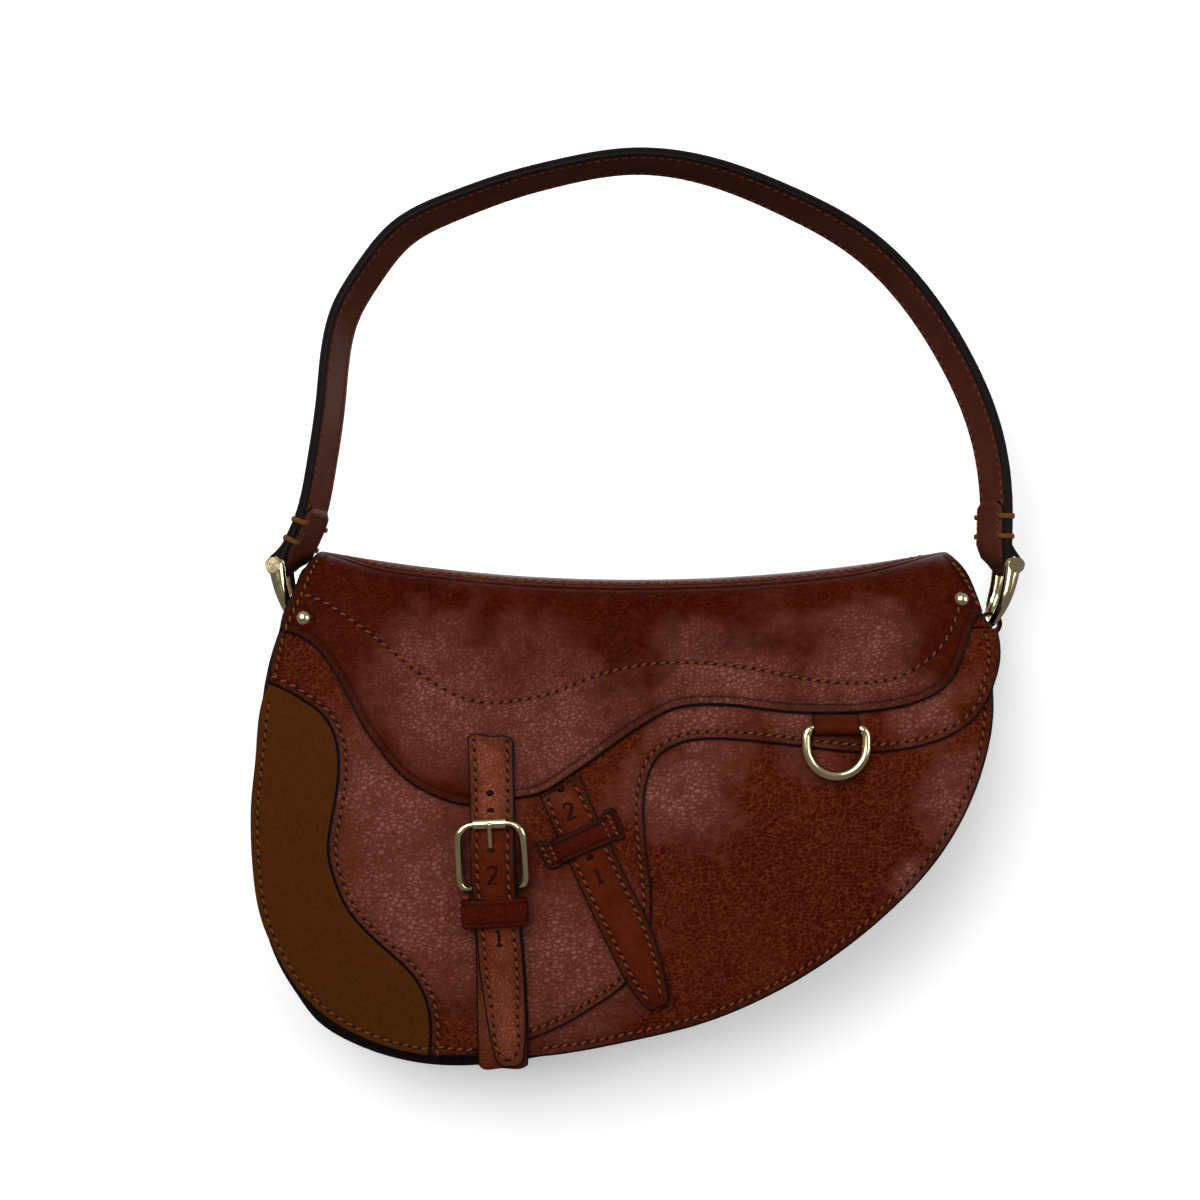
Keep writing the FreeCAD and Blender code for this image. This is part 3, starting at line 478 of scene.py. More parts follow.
def hide(name, deep, warm, sheen_colour, net, grain, net_share, strength, spots=(), gloss=0.008):
    """A leather material from the shared group; grain is pebbles per metre, their depth and wrinkles."""
    material, tree, shader, where = new_material(name)
    noted = {}
    for label in ("edge", "press"):
        note = tree.nodes.new("ShaderNodeAttribute")
        note.attribute_name = label
        noted[label] = note.outputs["Fac"]
    # The spots become the mask of the painted sheen, a highlight painted over the colour.
    made = use_group(tree, leather_group, {
        "Place": where, "Deep": (*deep, 1.0), "Warm": (*warm, 1.0), "Painted Sheen Colour": (*sheen_colour, 1.0),
        "Net": (*net, 1.0), "Net Share": net_share,
        "Pebbles": grain[0], "Pebble Depth": grain[1], "Wrinkles": grain[2],
        "Painted Sheen Mask": painted_sheen_mask(tree, where, spots), "Edge": noted["edge"], "Press": noted["press"]})
    tree.links.new(made["Color"], shader.inputs["Base Color"])
    tree.links.new(made["Roughness"], shader.inputs["Roughness"])
    shader.inputs["Specular IOR Level"].default_value = gloss
    bump(tree, shader, made["Height"], strength, grain_relief)
    return material


# %% The hides of this bag
# The third colour of each hide is its painted sheen, and the spot lists place that painted highlight.
seat_hide = hide("seat_cognac", (0.030, 0.0018, 0.0004), (0.047, 0.0042, 0.0009), (0.215, 0.070, 0.054),
                 (0.026, 0.0026, 0.0008), (540.0, 0.35, 0.45), 0.55, 1.0,
                 [(-74.0, -209.0, 38.0), (-30.0, -227.0, 44.0), (32.0, -209.0, 37.0), (86.0, -202.0, 30.0)])
skirt_hide = hide("skirt_cognac", (0.037, 0.0026, 0.0006), (0.061, 0.0072, 0.0018), (0.220, 0.072, 0.056),
                  (0.028, 0.0030, 0.0010), (430.0, 1.0, 0.9), 0.45, 1.0,
                  [(-88.0, -288.0, 56.0), (-96.0, -250.0, 44.0), (-34.0, -312.0, 44.0), (22.0, -219.0, 30.0),
                   (64.0, -213.0, 28.0), (104.0, -208.0, 24.0), (14.0, -244.0, 27.0), (124.0, -250.0, 22.0),
                   (104.0, -282.0, 13.0)])
body_hide = hide("body_cognac", (0.038, 0.0034, 0.0008), (0.062, 0.0078, 0.0022), (0.100, 0.024, 0.0120),
                 (0.030, 0.0034, 0.0012), (470.0, 0.9, 0.4), 0.5, 0.5)
saddle_tan = hide("strap_tan", (0.048, 0.0044, 0.0010), (0.082, 0.0118, 0.0034), (0.240, 0.070, 0.038),
                  (0.060, 0.0080, 0.0026), (700.0, 0.45, 0.3), 0.4, 0.35,
                  [(-57.0, -236.0, 30.0), (-52.0, -335.0, 36.0)])
oxblood = hide("keeper_red_brown", (0.033, 0.0020, 0.0010), (0.056, 0.0050, 0.0027), (0.120, 0.032, 0.026),
               (0.024, 0.0020, 0.0012), (700.0, 0.4, 0.2), 0.4, 0.25)
handle_brown = hide("handle_brown", (0.064, 0.0155, 0.0095), (0.090, 0.0265, 0.0180), (0.110, 0.040, 0.028),
                    (0.024, 0.0070, 0.0045), (700.0, 0.4, 0.2), 0.4, 0.25)


# %% Plainer finishes
def plain_finish(name, colour, other, scale, roughness, metallic=0.0, strength=0.1, distance=0.0002,
                 detail=4.0, stretch=(1.0, 1.0, 1.0), gloss=0.12):
    """A finish whose colour, roughness and relief drift with one noise, drawn out by the stretch."""
    material, tree, shader, where = new_material(name, roughness, metallic)
    drawn = vector_node(tree, "MULTIPLY", where, stretch)["Vector"]
    drift = noise(tree, drawn, scale, detail)
    share = spread(tree, drift, 0.35, 0.65)
    tree.links.new(blend_colour(tree, share, (*colour, 1.0), (*other, 1.0)), shader.inputs["Base Color"])
    dull = spread(tree, drift, 0.3, 0.7, roughness * 0.75, roughness * 1.25)
    tree.links.new(dull, shader.inputs["Roughness"])
    shader.inputs["Specular IOR Level"].default_value = gloss
    bump(tree, shader, drift, strength, distance)
    return material


edge_paint = plain_finish("edge_paint", (0.0035, 0.0022, 0.0020), (0.0080, 0.0050, 0.0045), 420.0, 0.45,
                          strength=0.25, gloss=0.06)
thread = plain_finish("waxed_thread", (0.120, 0.027, 0.0065), (0.195, 0.054, 0.0150), 2200.0, 0.62,
                      strength=0.5, gloss=0.06)
suede_thread = plain_finish("suede_thread", (0.100, 0.031, 0.0070), (0.140, 0.050, 0.0125), 2200.0, 0.7,
                            strength=0.5, gloss=0.05)
# The needle holes are dark discs: painted shade in the holes.
needle_hole_shade = plain_finish("needle_hole_shade", (0.006, 0.003, 0.002), (0.012, 0.007, 0.005), 900.0, 0.85)
gold = plain_finish("pale_gold_plate", (0.66, 0.53, 0.29), (0.74, 0.61, 0.37), 300.0, 0.13, 1.0, 0.04,
                    0.0001, gloss=0.5)
brass = plain_finish("screw_brass", (0.52, 0.34, 0.12), (0.62, 0.43, 0.18), 900.0, 0.30, 1.0, 0.1,
                     0.0001, gloss=0.5)
lining_cloth = plain_finish("lining_cloth", (0.085, 0.048, 0.028), (0.130, 0.080, 0.050), 900.0, 0.85,
                            strength=0.5, stretch=(1.0, 1.0, 2.4))
suede = plain_finish("suede_nap", (0.046, 0.0118, 0.0018), (0.070, 0.0198, 0.0034), 1300.0, 0.95,
                     strength=0.7, distance=0.0003, detail=7.0, gloss=0.02)
print("finishes", len(bpy.data.materials))


# %% [markdown]
# ## A sheet of leather
# Every flat piece is cut from an outline, has its edge rounded and painted, and may carry a pressed
# crease and sewn grooves. Rings of points follow the edge and the grooves, where the shape changes
# quickly, and a loose grid fills the rest. The ring points are joined by a flat triangulation in
# (x, s), and the skin formula then bends the whole sheet onto the bag.

# %% Outlines in the flat
def closed_outline(runs, step):
    """Runs of outline points joined end to end, each smooth, with corners where they meet."""
    loop = np.vstack([smooth_run(run, step)[:-1] for run in runs])
    ahead = np.roll(loop, -1, axis=0)
    area = np.sum(loop[:, 0] * ahead[:, 1] - ahead[:, 0] * loop[:, 1])
    return loop if area > 0 else loop[::-1]


def line_distance(points, line, closed=True):
    """Shortest way from each point to a line of segments, in slices to save memory."""
    ends = np.roll(line, -1, axis=0) if closed else line[1:]
    starts = line if closed else line[:-1]
    along = ends - starts
    size = np.maximum(np.sum(along ** 2, axis=1), 1e-9)
    nearest = []
    for part in np.array_split(points, max(1, len(points) // 1500)):
        rel = part[:, None, :] - starts[None]
        share = np.clip(np.sum(rel * along, axis=2) / size, 0, 1)
        nearest.append(np.linalg.norm(rel - share[..., None] * along, axis=2).min(axis=1))
    return np.concatenate(nearest)


def inside(points, loop):
    """Even and odd crossings of a level ray from each point."""
    ends = np.roll(loop, -1, axis=0)
    above = loop[None, :, 1] > points[:, None, 1]
    above_end = ends[None, :, 1] > points[:, None, 1]
    rise = ends[:, 1] - loop[:, 1]
    rise = np.where(np.abs(rise) < 1e-12, 1e-12, rise)
    cross_x = loop[:, 0] + (points[:, 1:] - loop[:, 1]) * (ends[:, 0] - loop[:, 0]) / rise
    return np.sum((above != above_end) & (points[:, :1] < cross_x), axis=1) % 2 == 1


def unit(vectors):
    """Vectors cut to a length of one."""
    return vectors / np.maximum(np.linalg.norm(vectors, axis=-1, keepdims=True), 1e-9)


def sideways(line, closed):
    """Unit directions square to a line in (x, s), to its left."""
    before = np.roll(line, 1, axis=0)
    after = np.roll(line, -1, axis=0)
    if not closed:
        before[0] = line[0]
        after[-1] = line[-1]
    along = unit(after - before)
    return np.column_stack([-along[:, 1], along[:, 0]])


# %% Leather sheet
press_depth = 0.32
edge_fade = 6.0


def level_of(value, points):
    """A level given as one number, or as a function of the places."""
    return value(points) if callable(value) else np.full(len(points), float(value))


def note_points(piece, label, values):
    """Write one number per point into a mesh, for its finish to read."""
    note = piece.data.attributes.new(label, "FLOAT", "POINT")
    note.data.foreach_set("value", values.astype(np.float32))


def leather_sheet(name, runs, top, bottom, leather, rim=0.8, crease=None, grooves=(), spacing=3.6,
                  step=1.3, paint_reach=0.9, surface=skin, bare=None):
    """Height = top - rounded edge (a quarter circle of the rim's size) - crease and groove dips (bell
    curves of the distance to them). The same outline closes the sheet underneath. The edge is dyed
    all round but for a bare run, where the hide is turned in; cloth has no dye."""
    loop = closed_outline(runs, step)
    side = sideways(loop, True)
    rings = [rim * share for share in (0.12, 0.35, 0.7, 1.1)]
    if crease:
        rings += [crease + share for share in (-0.9, -0.45, 0.0, 0.45, 0.9)]
    stock = [loop]
    for ring in rings:
        moved = loop + side * ring
        stock.append(moved[line_distance(moved, loop) > ring * 0.985])
    lines = [smooth_run(groove, step) for groove in grooves]
    for line in lines:
        across = sideways(line, False)
        for shift in (-1.2, -0.55, 0.0, 0.55, 1.2):
            stock.append(line + across * shift)
    low, high = loop.min(axis=0), loop.max(axis=0)
    column = np.arange(low[0], high[0], spacing)
    row = np.arange(low[1], high[1], spacing * 0.87)
    mesh_x, mesh_s = np.meshgrid(column, row)
    mesh_x[1::2] += spacing / 2
    fill = np.column_stack([mesh_x.ravel(), mesh_s.ravel()])
    keep = inside(fill, loop) & (line_distance(fill, loop) > max(rings) + spacing * 0.4)
    for line in lines:
        keep &= line_distance(fill, line, False) > 1.2 + spacing * 0.3
    stock.append(fill[keep])
    ringed = np.vstack(stock[1:])
    ringed = ringed[inside(ringed, loop) & (line_distance(ringed, loop) > rings[0] * 0.9)]
    flat = np.vstack([loop, ringed])
    around = np.arange(len(loop))
    edges = np.column_stack([around, np.roll(around, -1)])
    made = delaunay_2d_cdt(flat.tolist(), edges.tolist(), [], 1, 1e-5)
    flat, faces = np.array(made[0]), np.array(made[2])
    gap = line_distance(flat, loop)
    gap[: len(loop)] = 0
    fall = np.clip(1 - gap / rim, 0, 1)
    height = level_of(top, flat) - rim * (1 - np.sqrt(1 - fall ** 2)) * 0.9
    press = np.zeros(len(flat))
    if crease:
        press = np.exp(-((gap - crease) / 0.5) ** 2)
    for line in lines:
        press = np.maximum(press, np.exp(-(line_distance(flat, line, False) / 0.6) ** 2))
    height -= press_depth * press
    count = len(flat)
    under = level_of(bottom, flat)
    height = np.maximum(height, under + 0.05)
    points = np.vstack([surface(flat[:, 0], flat[:, 1], height), surface(flat[:, 0], flat[:, 1], under)])
    lip = np.flatnonzero(gap == 0)[: len(loop)]
    after = np.roll(lip, -1)
    walls = np.column_stack([lip, after, after + count, lip + count])
    dyed = gap[faces].mean(axis=1) < paint_reach
    dyed_wall = np.ones(len(walls), bool)
    edge = np.clip(1 - gap / edge_fade, 0, 1)
    if bare is not None:
        from_bare = line_distance(flat, smooth_run(bare, step), False)
        dyed &= from_bare[faces].mean(axis=1) > paint_reach
        dyed_wall = from_bare[lip] + from_bare[after] > 0.1
        edge *= np.clip(from_bare / edge_fade, 0, 1)
    paint = np.concatenate([dyed, np.zeros(len(faces)), dyed_wall])
    edging = leather if leather is lining_cloth else edge_paint
    piece = put_mesh(name, points, [faces[:, ::-1], faces + count, walls], [leather, edging], paint)
    note_points(piece, "edge", np.tile(edge, 2))
    # The press share also darkens the finish there, as painted shade in the creases and grooves.
    note_points(piece, "press", np.tile(press, 2))
    return piece


# %% [markdown]
# ## Thread
# A stitch is a short, slightly slanted bulge of waxed thread between two needle holes. One small
# capsule is repeated along a line: its own length, width and height are carried by the line's
# direction, the sideways direction and the leather's outward direction.

# %% Thread and needle holes
def end_caps(count, around):
    """One many-sided face over each end of a tube made of rings."""
    return np.array([np.arange(around)[::-1], np.arange(count - around, count)])


def full_turn(count):
    """Equal angles once round a circle."""
    return np.linspace(0, 2 * np.pi, count, endpoint=False)


def capsule(length, width, height, around=8, along=5):
    """Rings from end to end: the radius follows a flattened half circle so both ends close."""
    at = np.linspace(-1, 1, along)
    swell = np.sqrt(np.clip(1 - np.abs(at) ** 3.2, 0, 1))
    swell[0] = swell[-1] = 0.02
    angle = full_turn(around)
    u = np.repeat(at[:, None], around, axis=1) * length / 2
    v = swell[:, None] * np.cos(angle) * width / 2
    w = swell[:, None] * np.sin(angle) * height
    shape = np.stack([u, v, w], axis=-1).reshape(-1, 3)
    return shape, grid_faces(along, around, closed_columns=True), end_caps(len(shape), around)


def hole_shade_disc(radius, around=8):
    """A dark lens-shaped disc, painted shade in a needle or punched hole: a fan round its middle and a flat
    back.
    """
    angle = full_turn(around)
    ring = np.column_stack([np.cos(angle) * radius * 0.8, np.sin(angle) * radius, np.zeros(around)])
    shape = np.vstack([ring, [[0, 0, 0.06]]])
    number = np.arange(around)
    fan = np.column_stack([number, np.roll(number, -1), np.full(around, around)])
    return shape, fan, number[None, ::-1]


# %% Stitch rows
stitch_pitch = 3.75


def stitch_frames(line, level, surface=skin):
    """Along, across and outward directions on the leather at each point of a line in (x, s)."""
    height = level_of(level, line)
    place = surface(line[:, 0], line[:, 1], height)
    out = unit(surface(line[:, 0], line[:, 1], height + 1.0) - place)
    along = np.gradient(place, axis=0)
    along = unit(along - np.sum(along * out, axis=1, keepdims=True) * out)
    return place, along, np.cross(out, along), out


def repeat_shape(shape, blocks, place, along, across, out):
    """Copies of a small shape: point = place + u along + v across + w outward, with its face blocks."""
    points = (place[:, None] + shape[None, :, :1] * along[:, None] + shape[None, :, 1:2] * across[:, None]
              + shape[None, :, 2:] * out[:, None])
    start = (np.arange(len(place)) * len(shape))[:, None, None]
    return points.reshape(-1, 3), [(start + faces).reshape(-1, faces.shape[1]) for faces in blocks]


def stitch_rows(name, rows, pitch=stitch_pitch, width=0.9, height=0.42, slant=0.3, surface=skin, yarn=None):
    """One piece holding rows of stitches and their holes. Each row is a line in (x, s) and a level."""
    blocks, bulges, holes = [], [], []
    count = 0
    for line, level in rows:
        run = even_steps(smooth_run(line, 0.8), pitch)
        place, along, across, out = stitch_frames((run[1:] + run[:-1]) / 2, level, surface)
        leant = along * np.cos(slant) + across * np.sin(slant)
        bulge = (*capsule(pitch * 0.76, width, height), place, leant, np.cross(out, leant), out)
        place, along, across, out = stitch_frames(run, level, surface)
        # Each needle hole is a dark disc: painted shade in the hole.
        hole = (*hole_shade_disc(width * 0.74), place + out * 0.04, along, across, out)
        for faces, (shape, body, end, *frames) in ((bulges, bulge), (holes, hole)):
            points, numbers = repeat_shape(shape, [body, end], *frames)
            blocks.append(points)
            faces += [block + count for block in numbers]
            count += len(points)
    paint = np.repeat([0, 1], [sum(map(len, bulges)), sum(map(len, holes))])
    return put_mesh(name, np.vstack(blocks), bulges + holes, [yarn or thread, needle_hole_shade], paint)


def inset_line(line, distance):
    """A line moved sideways in (x, s), to its left."""
    line = smooth_run(line, 2.0)
    return line + sideways(line, False) * distance


# %% [markdown]
# ## The flap's four layers
# From the inside out the flap is a grained base, a suede panel on its left, a skirt that sweeps from
# the suede across to the right, and the seat on top, whose lower edge runs in one long wave. Their
# outlines are read along the photo's edges.

# %% Outlines read off the photo
ridge_corner_x = (-128.8, 120.7)
seam_s = np.radians(114.0) * (roll_radius + top_level)
roll_top_s = np.pi / 2 * (roll_radius + top_level)
seat_left_pixels = [(305, 566), (297, 580), (290, 597), (283, 612), (279, 630)]
seat_lower_pixels = [
    (279, 630), (300, 637), (312, 645), (320, 653), (330, 667), (340, 684), (350, 703), (360, 723),
    (372, 741), (390, 765), (412, 785), (440, 799), (467, 806), (490, 804), (513, 799.5), (538, 795),
    (565, 780), (590, 763), (612, 747), (640, 728), (660, 716), (680, 708), (700, 705.5), (740, 707),
    (780, 712), (830, 714), (880, 711), (920, 702), (945, 688), (959, 668), (970, 635), (976, 620),
    (983, 611),
]
seat_right_pixels = [(983, 611), (975, 588), (965, 568), (955, 557)]
flap_left_pixels = [
    (279, 630), (270, 658), (262, 700), (255, 760), (251, 800), (250.5, 835), (254, 885), (261, 920),
    (275, 953), (302, 995), (330, 1020), (375, 1043), (405, 1052), (430, 1056),
]
flap_bottom_pixels = [
    (430, 1056), (476, 1057), (527, 1058), (580, 1052), (640, 1040), (700, 1025), (760, 1001), (820, 967),
    (880, 921), (940, 857), (970, 805), (986, 760), (994, 710), (993.5, 688),
]
flap_right_pixels = [(993.5, 688), (1000, 665), (1001, 648), (998, 629)]
skirt_left_pixels = [(279, 630), (273, 650), (268, 683)]
suede_border_pixels = [
    (268, 683), (285, 690), (305, 702), (322, 715), (333, 733), (338, 758), (337, 785), (331, 820),
    (328, 855), (334, 880), (347, 909), (365, 931), (390, 954), (410, 973), (424, 996), (430, 1025),
    (429, 1056),
]
skirt_foot_pixels = [(429, 1056), (460, 1057), (490, 1055)]
skirt_lower_pixels = [
    (490, 1055), (528, 1041), (565, 1025), (600, 1004), (626, 984), (643, 957), (650, 930), (652, 905),
    (648, 860), (645, 830), (645, 795), (651, 770), (660, 756), (680, 744), (700, 740), (740, 740.5),
    (800, 747), (865, 753), (915, 748), (958, 732), (981, 712), (993.5, 688),
]
seat_stitch_pixels = [
    (303, 594), (320, 600), (340, 612), (360, 626), (380, 641), (400, 658), (420, 674), (440, 687),
    (460, 697), (490, 703), (520, 700), (555, 692), (585, 680), (620, 669), (660, 663), (700, 663),
    (760, 670), (800, 678), (860, 683), (895, 678), (925, 662), (940, 648), (950, 632), (960, 605),
]
left_edge_stitch_pixels = [
    (318, 559), (312, 570), (305, 585), (300, 598), (293, 611), (288, 623), (284, 631),
]
skirt_left_stitch_pixels = [(283, 637), (281, 646), (278, 660), (275, 680)]
right_edge_stitch_pixels = [(952, 562), (960, 571), (968, 584), (974, 596), (979, 607)]
skirt_right_stitch_pixels = [(985, 632), (988, 642), (989, 655), (987, 672), (979, 691)]
rivet_pixels = [(303, 618), (962.5, 597.5)]


def on_front(x, z, level):
    """Places (x, s) on the front from how far across and how high they are."""
    return np.column_stack([x, round_from_back(x, z, level)])


def fold_line(level, drop, left_x, right_x):
    """The flap's fold, a level line across the front, from right to left."""
    x = np.linspace(right_x, left_x, 40)
    return on_front(x, fold_z - drop, level)


# %% Grained base under everything
def photo_runs(level, *runs):
    """Several runs of photo places laid on the leather at one level."""
    return [on_photo(run, level) for run in runs]


flap_gap = 0.3
base_left, base_bottom, base_right = photo_runs(
    skirt_level, flap_left_pixels, flap_bottom_pixels, flap_right_pixels)


def with_fold(runs, level):
    """Close flap runs over the top with the fold line between their first and last points."""
    return runs + [fold_line(level, flap_gap, runs[0][0][0], runs[-1][-1][0])]


def seam_run(drop):
    """The seam behind the seat, right to left: in front of the ridge, easing onto it at both ends."""
    x = np.linspace(ridge_corner_x[1], ridge_corner_x[0], 60)
    share = np.clip(np.minimum((x - ridge_corner_x[0]) / 30.0, (ridge_corner_x[1] - x) / 44.0), 0, 1)
    return np.column_stack([x, roll_top_s + (seam_s - roll_top_s) * np.sin(share * np.pi / 2) - drop])


base_stitch = inset_line(base_bottom[2:], -3.4)[3:]
base_runs = with_fold([base_left, base_bottom, base_right], skirt_level)
flap_base = leather_sheet("flap_base_leather", base_runs, skirt_level, lining_level, skirt_hide,
                          rim=0.9, grooves=[base_stitch], bare=base_runs[-1])
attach(flap_base, "flap")
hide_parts("flap_base", "flap_board")

# %% Suede panel
glue_line = 0.02
suede_top = skirt_level + 1.0
border = on_photo(suede_border_pixels, suede_top)
suede_outer = on_photo(flap_left_pixels[2:], suede_top)
suede_outer = np.vstack([border[:1], suede_outer[:-1], border[-1:]])
suede_rim_stitch = inset_line(suede_outer[1:], -2.7)
suede_panel = leather_sheet("suede_side_panel", [border, suede_outer[::-1]], suede_top,
                            skirt_level + glue_line, suede, rim=0.5, grooves=[suede_rim_stitch],
                            paint_reach=0.35)
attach(suede_panel, "flap")
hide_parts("suede_panel")

# %% Skirt
skirt_foot_stitch_pixels = [(436, 1047), (455, 1049), (474, 1050)]
skirt_runs = photo_runs(seat_level, skirt_left_pixels, suede_border_pixels, skirt_foot_pixels,
                        skirt_lower_pixels, flap_right_pixels)
skirt_stitches = [inset_line(skirt_runs[1], -3.1), inset_line(skirt_runs[3], -3.1)]
skirt_stitches += photo_runs(seat_level, skirt_left_stitch_pixels, skirt_right_stitch_pixels,
                             skirt_foot_stitch_pixels)
skirt_runs = with_fold(skirt_runs, seat_level)
skirt = leather_sheet("skirt_leather", skirt_runs, seat_level, skirt_level + glue_line, skirt_hide, rim=0.8,
                      grooves=skirt_stitches, bare=skirt_runs[-1])
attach(skirt, "flap")
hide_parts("skirt")

# %% [markdown]
# The seat is one hide from the seam behind the ridge down to its wavy edge. It is baked in place and
# attached to no body.

# %% Seat
seat_seam = seam_run(0.0)
seat_left = np.vstack([seat_seam[-1:], on_photo(seat_left_pixels, top_level)])
seat_lower = on_photo(seat_lower_pixels, top_level)
seat_right = np.vstack([on_photo(seat_right_pixels, top_level), seat_seam[:1]])
seat_stitches = photo_runs(top_level, seat_stitch_pixels, left_edge_stitch_pixels,
                           right_edge_stitch_pixels)
# Rings round the rivets are pressed grooves, darkened as painted shade like the other grooves.
halo_turn = np.linspace(0, 2 * np.pi, 40)
halo_radius = 4.5
rivet_halos = [place + halo_radius * np.column_stack([np.cos(halo_turn), np.sin(halo_turn)])
               for place in on_photo(rivet_pixels, top_level)]
seat = leather_sheet("seat_leather", [seat_left, seat_lower, seat_right, seat_seam], top_level,
                     seat_level + glue_line, seat_hide, rim=0.9, crease=3.4,
                     grooves=seat_stitches + rivet_halos, bare=seat_seam)
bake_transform(seat)
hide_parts("seat", "seat_roll")

# %% Sewing on the flap
stitch_sink = 0.12
flap_sewing = stitch_rows("flap_sewing", [
    (base_stitch, skirt_level - stitch_sink), *[(line, seat_level - stitch_sink) for line in skirt_stitches],
])
suede_sewing = stitch_rows("suede_sewing", [(suede_rim_stitch, suede_top - stitch_sink)], yarn=suede_thread)
for piece in (flap_sewing, suede_sewing):
    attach(piece, "flap")
seat_sewing = stitch_rows("seat_sewing", [(line, top_level - stitch_sink) for line in seat_stitches])
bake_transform(seat_sewing)

# %% [markdown]
# ## The top roll and the back
# Behind the seat's seam a plain strip of the same hide runs over the top and down the back.

# %% Roll ends and back strip
def end_run(pixels, level, corner_x):
    """One end of the roll: the front's outline, and its mirror about the top of the roll. The back
    widens late, as share squared, so it swings clear of the handle."""
    front = np.vstack([[[corner_x, seam_s]], on_photo(pixels, level)])
    share = np.linspace(0, 1, len(front))
    back_x = corner_x + (front[:, 0] - corner_x) * share ** 2
    return front, np.column_stack([back_x, 2 * roll_top_s - front[:, 1]])


back_foot_s = -20.0
left_front, left_back = end_run(seat_left_pixels, seat_level, ridge_corner_x[0])
right_pixels = [(953, 559), (962, 570), (971, 589), (981, 610), (993, 628)]
right_front, right_back = end_run(right_pixels, seat_level, ridge_corner_x[1])
left_end = np.vstack([left_front[::-1], left_back, [[left_back[-1, 0], back_foot_s]]])
right_end = np.vstack([[[right_back[-1, 0], back_foot_s]], right_back[::-1], right_front])
roll_fold = fold_line(seat_level, 0.0, left_end[0, 0], right_end[-1, 0])
foot_line = np.array([left_end[-1], right_end[0]])
roll_core = leather_sheet("roll_core", [left_end, foot_line, right_end, roll_fold], seat_level, lining_level,
                          body_hide, rim=0.9, bare=roll_fold)
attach(roll_core, "bag")
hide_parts("roll_board")
strip_seam = seam_run(0.3)
strip_left = np.vstack([strip_seam[-1:], left_back[1:], left_end[-1:]])
strip_right = np.vstack([right_end[:1], right_back[1:][::-1], strip_seam[:1]])
seam_stitch = seam_run(2.7)[2:-2]
foot_stitch = foot_line + [[3.0, 3.0], [-3.0, 3.0]]
strip_sides = [inset_line(strip_left[2:], 3.2)[:-2], inset_line(strip_right[:-2], 3.2)[2:]]
strip_rows = [seam_stitch, foot_stitch, *strip_sides]
back_strip = leather_sheet("back_strip_leather", [strip_left, foot_line, strip_right, strip_seam], top_level,
                           seat_level + glue_line, body_hide, rim=0.9, grooves=strip_rows, bare=strip_seam)
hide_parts("back_strip")
strip_sewing = stitch_rows("strip_sewing", [(line, top_level - stitch_sink) for line in strip_rows])
for piece in (back_strip, strip_sewing):
    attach(piece, "bag")


# %% [markdown]
# ## Straps
# The billet is sewn to the seat, passes under the roller, humps over the buckle's bar and the prong,
# goes through the keeper and lies on the strap beneath it, which folds round the flap's lower edge.
# All of that is one height over the skin that eases from row to row, so a strap is a leather sheet
# whose level is a function of s. Two rows of stitches run near its edges, with pressed holes and
# plain hole numbers between them.

# %% Strap levels
strap_column = 495


def eased(share):
    """A smooth rise from 0 to 1: share^2 (3 - 2 share)."""
    return share ** 2 * (3 - 2 * share)


def eased_levels(rows, levels):
    """A level that eases between rows of the photo, from each to its neighbour."""
    knots = on_photo([(strap_column, row) for row in rows], top_level)[:, 1]
    levels = np.asarray(levels, float)

    def level(points):
        s = np.clip(points[:, 1], knots[0], knots[-1])
        k = np.clip(np.searchsorted(knots, s, side="right") - 1, 0, len(knots) - 2)
        share = (s - knots[k]) / (knots[k + 1] - knots[k])
        return levels[k] + (levels[k + 1] - levels[k]) * eased(share)
    return level


def raised(level, height):
    """A level moved outward by a height."""
    return lambda points: level_of(level, points) + height


billet_ply = 1.6
under_ply = 1.2
billet_under = eased_levels([735, 806, 822, 834, 846, 858, 872, 888, 903, 955, 985, 1066],
                            [7.3, 7.3, 8.2, 9.0, 12.2, 12.9, 12.8, 11.9, 9.7, 8.2, 7.1, 7.1])
billet_top = raised(billet_under, billet_ply)
under_low = eased_levels([889, 955, 985, 1056, 1060, 1070], [6.8, 6.8, 5.7, 5.7, 0.3, 0.1])
under_top = raised(eased_levels([889, 955, 985, 1062, 1070], [6.8, 6.8, 5.7, 5.6, 5.0]), under_ply)


# %% Punched holes and pressed numbers
def pressed_number(digit, middle, tall, lean, level):
    """Stroke points of a plain 1 or 2 in photo pixels, leaned, laid on the leather in (x, s)."""
    strokes = {
        "1": [[(-0.16, -0.32), (0.03, -0.46), (0.03, 0.46)], [(-0.18, 0.46), (0.24, 0.46)]],
        "2": [[(-0.26, -0.24), (-0.16, -0.43), (0.05, -0.48), (0.25, -0.36), (0.25, -0.16), (0.08, 0.10),
               (-0.26, 0.46), (0.30, 0.46)]],
    }[digit]
    turn = np.radians(lean)
    spin = np.array([[np.cos(turn), -np.sin(turn)], [np.sin(turn), np.cos(turn)]])
    return [on_photo(np.asarray(stroke) * tall @ spin.T + np.asarray(middle), level) for stroke in strokes]


